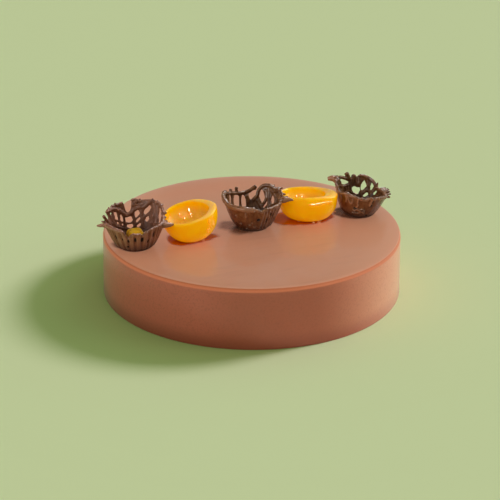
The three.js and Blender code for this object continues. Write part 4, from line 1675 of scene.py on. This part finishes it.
@dataclass
class ApricotHalf:
    """Half an apricot, cut face up, with the hollow of its stone."""

    node: str
    placement: Placement
    width: float
    depth: float
    height: float
    hollow_width: float
    hollow_depth: float
    hollow_deep: float
    hollow_shift: float
    drops: tuple[Drop, ...]
    drop_proud: float = 0.9
    lip: float = 2.2
    roundness: float = 2.6
    skin_steps: int = 14
    lip_steps: int = 6
    hollow_steps: int = 10
    round_steps: int = 72
    waviness: float = 0.45
    wave_pitch: float = 0.09
    lip_least: float = 0.3
    # these two shape the lip's painted highlight: its share on the left half, and where to the right it
    # reaches full
    lip_highlight_left: float = 0.45
    lip_highlight_turn: float = 0.8

    def build(self) -> bpy.types.Object:
        """Models the half and dresses it.

        Returns:
            The apricot half.
        """
        work = Sculpture()
        cut_face = work.bm.verts.layers.float.new(CUT_FACE_AND_LIP_HIGHLIGHT)
        self._shape(work.turned(self._profile(), self.round_steps), cut_face)
        work.face_outwards()
        half = work.piece(f"glazed_{self.node}")
        smooth = half.modifiers.new("round", "SUBSURF")
        smooth.levels = smooth.render_levels = 1
        settle(half)
        self.placement.seat(half)
        return dress(half, ApricotFinish().material(), self.node)

    def build_drops(self) -> bpy.types.Object:
        """Models the syrup that hangs on the half and dresses it.

        Returns:
            The drops.
        """
        work = Sculpture()
        for drop in self.drops:
            self._drop(work, drop)
        work.face_outwards()
        drops = work.piece(f"{DROPS_PIECE}_on_{self.node}")
        drops.data.transform(self.placement.matrix())
        return dress(drops, CLEAR_SYRUP.material(), None)

    def _profile(self) -> list[tuple[float, float]]:
        """Lays out the half's section.

        Returns:
            Its corners, from the skin's pole to the hollow's bottom.
        """
        radius, mouth = self.width / 2, self.hollow_width / 2
        lip_half = (radius - mouth) / 2
        power = 2 / self.roundness
        corners = [(0.0, -self.height)]
        for i in range(1, self.skin_steps + 1):
            turn = i / self.skin_steps * math.pi / 2
            corners.append((radius * math.sin(turn) ** power, -self.height * abs(math.cos(turn)) ** power))
        for i in range(1, self.lip_steps):
            turn = i / self.lip_steps * math.pi
            corners.append((radius - lip_half * (1 - math.cos(turn)), self.lip * math.sin(turn)))
        for i in range(self.hollow_steps):
            turn = i / self.hollow_steps * math.pi / 2
            corners.append((mouth * math.cos(turn), -self.hollow_deep * math.sin(turn)))
        corners.append((0.0, -self.hollow_deep))
        return corners

    def _shape(self, verts: Sequence[bmesh.types.BMVert], cut_face: bmesh.types.BMLayerItem) -> None:
        """Makes the turned half oval, moves its hollow, makes it uneven, and marks its cut face together with
        the lip's painted highlight.

        Args:
            verts: The turned vertices.
            cut_face: Layer that takes -1 at the hollow's bottom and 0 on the skin, and rises on the lip with
                its painted highlight, up to 1 at the crest on the right.
        """
        radius, mouth = self.width / 2, self.hollow_width / 2
        outer, inner = self.depth / self.width, self.hollow_depth / self.hollow_width
        for vert in verts:
            point = vert.co.copy()
            reach = point.xy.length
            cut_open = point.z > self._skin_height(reach) + self.lip_least
            share = smoothstep(radius - reach, 0.0, radius - mouth) if cut_open else 0.0
            squash = outer + (inner - outer) * share
            if cut_open and point.z > 0:
                # the lip's painted highlight grows towards the right, where the light falls
                pale = smoothstep(point.x / radius, 0.0, self.lip_highlight_turn)
                vert[cut_face] = point.z / self.lip * (self.lip_highlight_left + (1 - self.lip_highlight_left) * pale)
            elif cut_open:
                vert[cut_face] = point.z / self.hollow_deep
            shaped = Vector((point.x + self.hollow_shift * share, point.y * squash, point.z))
            vert.co = shaped + self._uneven(point)

    def _drop(self, work: Sculpture, drop: Drop) -> None:
        """Hangs one drop of syrup on the half.

        Args:
            work: The mesh.
            drop: The drop.
        """
        point = self._surface(drop.face, drop.azimuth, drop.turn)
        across = (self._surface(drop.face, drop.azimuth + 2, drop.turn) - point).normalized()
        down = self._surface(drop.face, drop.azimuth, drop.turn - 2) - point
        normal = across.cross(down).normalized()
        lie = Matrix((across, normal.cross(across), normal)).transposed().to_4x4()
        lie.translation = point
        work.drop(lie @ Matrix.Diagonal((drop.along, drop.upright, 2 * self.drop_proud, 1.0)))

    def _surface(self, face: Face, azimuth: float, turn: float) -> Vector:
        """Finds a place on the half.

        Args:
            face: The side that it is on.
            azimuth: Degrees, 0 at the front.
            turn: Degrees from the pole to the rim.

        Returns:
            The place.
        """
        angle, power = math.radians(turn), 2 / self.roundness
        if face is Face.SKIN:
            reach = self.width / 2 * math.sin(angle) ** power
            height = -self.height * math.cos(angle) ** power
            squash, shift = self.depth / self.width, 0.0
        else:
            reach = self.hollow_width / 2 * math.sin(angle)
            height = -self.hollow_deep * math.cos(angle)
            squash, shift = self.hollow_depth / self.hollow_width, self.hollow_shift
        point = from_azimuth(azimuth, reach, height)
        return Vector((point.x + shift, point.y * squash, point.z)) + self._uneven(point)

    def _uneven(self, point: Vector) -> Vector:
        """Small shift that makes the half uneven at a point."""
        return self.waviness * noise.noise_vector(point * self.wave_pitch + Vector((self.width, 0.0, 0.0)))

    def _skin_height(self, reach: float) -> float:
        """Height of the skin below the cut face at a distance from the axis."""
        share = min(reach / (self.width / 2), 1.0)
        return -self.height * max(1 - share**self.roundness, 0.0) ** (1 / self.roundness)


LEFT_APRICOT = ApricotHalf(
    node="apricot_left",
    placement=Placement(along=-55.6, across=-4.3, lean_forward=6.3, lean_right=-13, standing=23.2),
    width=45,
    depth=41,
    height=23.2,
    hollow_width=36,
    hollow_depth=34,
    hollow_deep=12,
    hollow_shift=-2,
    drops=(
        Drop(Face.HOLLOW, 178, 62, 2.4, 6.0), Drop(Face.HOLLOW, 174, 46, 2.2, 4.4),
        Drop(Face.HOLLOW, 206, 60, 2.2, 3.0), Drop(Face.HOLLOW, 200, 42, 2.4, 2.6),
        Drop(Face.SKIN, 44, 84, 3.0, 4.4), Drop(Face.SKIN, 40, 66, 2.4, 3.6),
        Drop(Face.SKIN, 34, 50, 2.4, 2.4),
    ),
    lip=1.7,
    roundness=2.3,
)

RIGHT_APRICOT = ApricotHalf(
    node="apricot_right",
    placement=Placement(along=50.4, across=2.5, lean_forward=-6.6, lean_right=-0.5, standing=21.5),
    width=48.4,
    depth=40,
    height=21.7,
    hollow_width=36,
    hollow_depth=33,
    hollow_deep=11,
    hollow_shift=-4,
    drops=(
        Drop(Face.HOLLOW, 200, 62, 2.8, 2.4), Drop(Face.HOLLOW, 183, 60, 2.4, 3.8),
        Drop(Face.HOLLOW, 176, 48, 2.2, 2.8), Drop(Face.SKIN, 8, 85, 6.0, 2.6),
        Drop(Face.SKIN, 20, 86, 7.5, 2.8), Drop(Face.SKIN, 33, 87, 7.0, 2.6),
        Drop(Face.SKIN, 45, 87, 4.5, 2.4),
    ),
)

APRICOTS = (LEFT_APRICOT, RIGHT_APRICOT)


# The piece of yellow fruit


@dataclass
class FruitPiece:
    """A lump of yellow fruit in the left basket."""

    width: float = 13.0
    depth: float = 11.0
    height: float = 12.0
    corner_power: float = 0.52
    turn: float = 20.0
    forward: float = 2.0
    floor: float = 3.3
    waviness: float = 0.35
    wave_pitch: float = 0.3

    def build(self) -> bpy.types.Object:
        """Models the lump and dresses it.

        Returns:
            The piece of fruit.
        """
        work = Sculpture()
        bmesh.ops.create_icosphere(work.bm, subdivisions=5, radius=1.0)
        size = Vector((self.width, self.depth, self.height)) / 2
        for vert in work.bm.verts:
            squared = [math.copysign(abs(c) ** self.corner_power, c) for c in vert.co]
            vert.co = Vector(s * c for s, c in zip(size, squared))
            vert.co += self.waviness * noise.noise_vector(vert.co * self.wave_pitch)
        turn = Matrix.Rotation(math.radians(self.turn), 4, "Z")
        lift = Matrix.Translation(Vector((0.0, -self.forward, self.floor + self.height / 2)))
        lump = work.piece("yellow_fruit_piece")
        lump.data.transform(LEFT_BASKET.placement.matrix() @ lift @ turn)
        return dress(lump, FruitFinish().material(), "fruit_piece")


# Films and drops on the glaze; the films paint shadow and reflection


class Spread(NamedTuple):
    """How far a film reaches in one direction: at full depth, and to its edge."""

    azimuth: float
    full: float
    edge: float


@dataclass
class WetFilm:
    """A thin film that has run out from under a topping; its tint paints contact shadow round the topping's
    foot, and in the wet patch a basket's reflection.
    """

    name: str
    along: float
    across: float
    spreads: tuple[Spread, ...]
    finish: SyrupFinish
    slot: Slot
    thick: float = 0.35
    sunk: float = 0.05
    rings: int = 12
    round_steps: int = 96
    raggedness: float = 0.36

    def build(self) -> bpy.types.Object:
        """Models the film and dresses it.

        Returns:
            The film.
        """
        work = Sculpture()
        shares = [i / self.rings for i in range(self.rings + 1)]
        dome = [(share, self.thick * (1 - share**2)) for share in reversed(shares)]
        depth = work.bm.verts.layers.float.new(FILM_DEPTH)
        for vert in work.turned([(0.0, -self.sunk), (1.0, -self.sunk), *dome], self.round_steps):
            share = min(vert.co.xy.length, 1.0)
            azimuth = azimuth_of(vert.co)
            full, edge = self._reach(azimuth)
            inner, outer = min(2 * share, 1.0), max(2 * share - 1, 0.0)
            vert[depth] = 1 - smoothstep(outer, 0.0, 1.0)
            vert.co = from_azimuth(azimuth, inner * full + outer * (edge - full), vert.co.z)
        work.face_outwards()
        film = work.piece(self.name)
        film.data.transform(Matrix.Translation(Vector((self.along, self.across, CAKE_TOP))) @ FRONT)
        return dress(film, self.finish.material(), None)

    def _reach(self, azimuth: float) -> tuple[float, float]:
        """Finds how far the film reaches.

        Args:
            azimuth: Degrees, 0 at the front.

        Returns:
            Where its full depth ends, and its edge.
        """
        before, after, share = between(self.spreads, azimuth)
        eased = smoothstep(share, 0.0, 1.0)
        full, edge = (a + (b - a) * eased for a, b in zip(before[1:], after[1:]))
        ragged = self.raggedness * noise.noise(from_azimuth(azimuth, 2.2, self.along))
        return full, full + (edge - full) * (1 + ragged)


WET_FILMS = (
    WetFilm(
        name="syrup_left",
        along=-55.6,
        across=-4.3,
        spreads=(
            Spread(0, 6.5, 12.5), Spread(35, 6.5, 11), Spread(70, 8.5, 13), Spread(95, 14, 21.5),
            Spread(108, 18.5, 29), Spread(118, 18, 29), Spread(132, 14.5, 23.5), Spread(180, 10, 15),
            Spread(240, 15, 20), Spread(272, 15.5, 18.5), Spread(305, 14.5, 18.5), Spread(330, 12, 16.5),
        ),
        finish=AMBER_SYRUP_AND_SHADOW,
        slot=Slot.APRICOT,
    ),
    WetFilm(
        name="syrup_right",
        along=50.4,
        across=2.5,
        spreads=(
            Spread(5, 10.5, 15.5), Spread(35, 10.5, 15), Spread(57, 12.5, 17.3), Spread(80, 14.5, 19.8),
            Spread(100, 19.5, 24), Spread(118, 20, 25), Spread(150, 12, 17), Spread(200, 12, 17),
            Spread(235, 21, 27), Spread(262, 26.5, 32), Spread(287, 27, 33), Spread(303, 21.5, 30.5),
            Spread(316, 16, 23.5), Spread(338, 12, 18),
        ),
        finish=AMBER_SYRUP_AND_SHADOW,
        slot=Slot.APRICOT,
    ),
    WetFilm(
        name="melt_left",
        along=-98.4,
        across=0.5,
        spreads=(
            Spread(0, 11, 15), Spread(28, 11, 14), Spread(65, 11.5, 13.8), Spread(100, 12.5, 15),
            Spread(180, 9, 12), Spread(240, 14, 19), Spread(262, 15.5, 22), Spread(280, 14.5, 20),
            Spread(307, 12.5, 16), Spread(335, 12, 15.2),
        ),
        finish=MELT_AND_SHADOW,
        slot=Slot.CHOCOLATE,
    ),
    WetFilm(
        name="melt_middle",
        along=1.8,
        across=3.8,
        spreads=(
            Spread(10, 8.5, 13.5), Spread(40, 9, 12.3), Spread(72, 10.5, 13.4), Spread(100, 13, 16),
            Spread(180, 9, 12), Spread(230, 11, 15), Spread(262, 11.5, 15.5), Spread(290, 14, 21),
            Spread(312, 15.5, 25.5), Spread(330, 14.5, 25), Spread(352, 11, 20),
        ),
        finish=MELT_AND_SHADOW,
        slot=Slot.CHOCOLATE,
    ),
    WetFilm(
        name="melt_right",
        along=93.5,
        across=-0.2,
        spreads=(
            Spread(0, 12.5, 15.8), Spread(25, 11.5, 14.5), Spread(69, 12, 14.5), Spread(100, 14, 17),
            Spread(180, 9, 12), Spread(230, 16, 20), Spread(250, 17, 21.5), Spread(281, 17.5, 21.5),
            Spread(303, 15, 19.2), Spread(323, 13.5, 17.2),
        ),
        finish=MELT_AND_SHADOW,
        slot=Slot.CHOCOLATE,
    ),
    WetFilm(
        name="wet_patch",
        along=-17.2,
        across=13.6,
        spreads=(
            Spread(0, 6, 14), Spread(50, 11, 17), Spread(90, 8, 13), Spread(180, 5, 11), Spread(270, 2, 9),
        ),
        finish=WET_GLAZE_AND_REFLECTION,
        slot=Slot.GLAZE,
    ),
)


class Bead(NamedTuple):
    """A drop on the cake's top: where it lies along and across the row, and its width."""

    along: float
    across: float
    width: float


@dataclass
class FootDrops:
    """Small drops on the glaze, round the toppings' feet."""

    name: str
    finish: DropFinish
    slot: Slot
    beads: tuple[Bead, ...]
    flatness: float = 0.85
    lift: float = 0.2

    def build(self) -> bpy.types.Object:
        """Models the drops and dresses them.

        Returns:
            The drops.
        """
        work = Sculpture()
        for bead in self.beads:
            place = Matrix.Translation(Vector((bead.along, bead.across, CAKE_TOP + self.lift)))
            work.drop(place @ Matrix.Diagonal((bead.width, bead.width, bead.width * self.flatness, 1.0)))
        work.face_outwards()
        return dress(work.piece(f"{DROPS_PIECE}_{self.name}"), self.finish.material(), None)


FOOT_DROPS = (
    FootDrops(
        name="round_apricots",
        finish=PALE_SYRUP_AND_GLINT,
        slot=Slot.APRICOT,
        beads=(
            Bead(41.4, -0.6, 3.4), Bead(57.4, -5.6, 3.8), Bead(55.0, -9.8, 3.2), Bead(50.6, -8.6, 2.8),
            Bead(-46.0, -10.2, 2.8), Bead(77.0, 7.4, 2.6),
        ),
    ),
    FootDrops(
        name="of_chocolate",
        finish=WET_CHOCOLATE_AND_SPARKLE,
        slot=Slot.CHOCOLATE,
        beads=(Bead(-8.1, -1.7, 2.8), Bead(-4.3, -3.4, 2.4), Bead(-9.9, 1.6, 2.0), Bead(80.6, 3.4, 2.0)),
    ),
)


# Studio


class Group(Enum):
    """Pieces that a lamp shines on, or that cast its shadows."""

    ALL = "all_pieces"
    CAKE = "cake_alone"
    FLOOR = "floor_alone"
    GROUND = "cake_and_floor"
    TOPPINGS = "toppings"
    BASKETS = "baskets"
    FRUIT = "fruit_and_films"
    DROPS = "wet_drops"
    NOT_LEFT = "all_but_left_basket"

    def holds(self, name: str) -> bool:
        """Tells whether a piece is in the group.

        Args:
            name: The piece's name.

        Returns:
            True for a piece of the group.
        """
        topping = name not in (CAKE_PIECE, FLOOR_PIECE)
        basket = name.startswith(BASKET_PIECE)
        answers = {
            Group.ALL: True,
            Group.CAKE: name == CAKE_PIECE,
            Group.FLOOR: name == FLOOR_PIECE,
            Group.GROUND: not topping,
            Group.TOPPINGS: topping,
            Group.BASKETS: basket,
            Group.FRUIT: topping and not basket,
            Group.DROPS: name.startswith(DROPS_PIECE),
            Group.NOT_LEFT: name != LEFT_BASKET.piece_name,
        }
        return answers[self]

    def gather(self) -> bpy.types.Collection:
        """Collects the pieces of the group.

        Returns:
            The collection, which only lamps use.
        """
        collection = bpy.data.collections.new(self.value)
        for obj in bpy.context.scene.objects:
            if obj.type == "MESH" and self.holds(obj.name):
                collection.objects.link(obj)
        return collection


@dataclass(frozen=True)
class Lamp:
    """A far lamp, hung in a direction as the camera sees it: right, away and up."""

    name: str
    way: Way
    angle: float
    power: float
    shines_on: Group = Group.ALL
    shaded_by: Group = Group.ALL
    diffuse: bool = True
    glossy: bool = True
    colour: Way = (1.0, 1.0, 1.0)

    def hang(self) -> None:
        """Hangs the lamp."""
        light = bpy.data.lights.new(self.name, "SUN")
        light.energy = self.power
        light.angle = math.radians(self.angle)
        light.color = self.colour
        sun = bpy.data.objects.new(self.name, light)
        towards = FRONT.to_3x3() @ Vector(self.way).normalized()
        sun.location = towards
        sun.rotation_euler = towards.to_track_quat("Z", "Y").to_euler()
        bpy.context.scene.collection.objects.link(sun)
        sun.visible_diffuse = self.diffuse
        sun.visible_glossy = self.glossy
        if self.shines_on is not Group.ALL:
            sun.light_linking.receiver_collection = self.shines_on.gather()
        if self.shaded_by is not Group.ALL:
            sun.light_linking.blocker_collection = self.shaded_by.gather()


KEY_WAY = (0.751, 0.388, 0.534)
FILL_WAY = (0.10, -0.75, 0.62)
GLINT_WAY = (0.1, -0.45, 0.85)
TOP_WAY = (0.10, 0.25, 0.96)
BEHIND_WAY = (0.15, 0.62, 0.78)
LEFT_WAY = (-0.75, -0.62, 0.22)

LAMPS = (
    Lamp("cake_key", KEY_WAY, angle=14, power=2.6, shines_on=Group.CAKE, shaded_by=Group.GROUND),
    Lamp(
        "floor_key",
        KEY_WAY,
        angle=14,
        power=3.98,
        shines_on=Group.FLOOR,
        shaded_by=Group.GROUND,
        colour=(0.68, 0.48, 1.0),
    ),
    Lamp("topping_key", KEY_WAY, angle=40, power=1.1, shines_on=Group.TOPPINGS),
    Lamp("wide_key", KEY_WAY, angle=70, power=0.4, shaded_by=Group.NOT_LEFT),
    Lamp("fruit_fill", FILL_WAY, angle=35, power=0.95, shines_on=Group.FRUIT, glossy=False),
    Lamp("fruit_glint", GLINT_WAY, angle=9, power=0.35, shines_on=Group.FRUIT, diffuse=False),
    Lamp("basket_top", TOP_WAY, angle=25, power=1.75, shines_on=Group.BASKETS),
    Lamp("rim_glint", BEHIND_WAY, angle=10, power=1.4, shines_on=Group.BASKETS, diffuse=False),
    Lamp("left_glint", LEFT_WAY, angle=40, power=1.6, shines_on=Group.BASKETS),
    Lamp("drop_glint", GLINT_WAY, angle=60, power=26, shines_on=Group.DROPS, diffuse=False),
)


@dataclass
class Studio:
    """Floor, lights and camera, in metres."""

    floor_side: float = 12.0
    sky: Colour = srgb("fafdf0")
    ambient: float = 0.30
    camera_distance: float = 1.4
    camera_elevation: float = 24.277
    camera_sideways: float = -1.392 * MM
    camera_pitch: float = 23.123
    camera_roll: float = 0.431
    lens: float = 122.89

    def build(self) -> None:
        """Sets the floor, the lights, the sky and the camera."""
        self._floor()
        for lamp in LAMPS:
            lamp.hang()
        self._sky()
        self._camera()
        bpy.context.scene.view_settings.view_transform = "Standard"

    def _floor(self) -> None:
        """Lays the floor that the cake stands on."""
        work = Sculpture()
        bmesh.ops.create_grid(work.bm, x_segments=1, y_segments=1, size=self.floor_side / 2)
        floor = work.piece(FLOOR_PIECE)
        floor.data.materials.append(FloorFinish().material())

    def _sky(self) -> None:
        """Lights the room evenly."""
        world = bpy.data.worlds.new("room")
        world.use_nodes = True
        background = world.node_tree.nodes["Background"]
        background.inputs["Color"].default_value = self.sky
        background.inputs["Strength"].default_value = self.ambient
        bpy.context.scene.world = world

    def _camera(self) -> None:
        """Sets the camera at the toppings' front."""
        lens = bpy.data.cameras.new("camera")
        lens.lens = self.lens
        camera = bpy.data.objects.new("camera", lens)
        elevation = math.radians(self.camera_elevation)
        away, up = self.camera_distance * math.cos(elevation), self.camera_distance * math.sin(elevation)
        place = Matrix.Translation(Vector((self.camera_sideways, -away, up)))
        tilt = Matrix.Rotation(math.radians(90 - self.camera_pitch), 4, "X")
        roll = Matrix.Rotation(math.radians(self.camera_roll), 4, "Z")
        camera.matrix_world = FRONT @ place @ tilt @ roll
        bpy.context.scene.collection.objects.link(camera)
        bpy.context.scene.camera = camera


def main() -> None:
    """Builds every piece in order, then the studio."""
    logging.basicConfig(level=logging.INFO, format="%(message)s")
    noise.seed_set(NOISE_SEED)
    builders: list[Callable[[], bpy.types.Object]] = [GlazedCake().build]
    builders += [basket.build for basket in BASKETS]
    builders += [half.build for half in APRICOTS]
    builders.append(FruitPiece().build)
    builders += [film.build for film in WET_FILMS]
    builders += [half.build_drops for half in APRICOTS]
    builders += [drops.build for drops in FOOT_DROPS]
    for build in builders:
        piece = build()
        LOG.info("%s: %d faces", piece.name, len(piece.data.polygons))
    Studio().build()


if __name__ == "__main__":
    main()
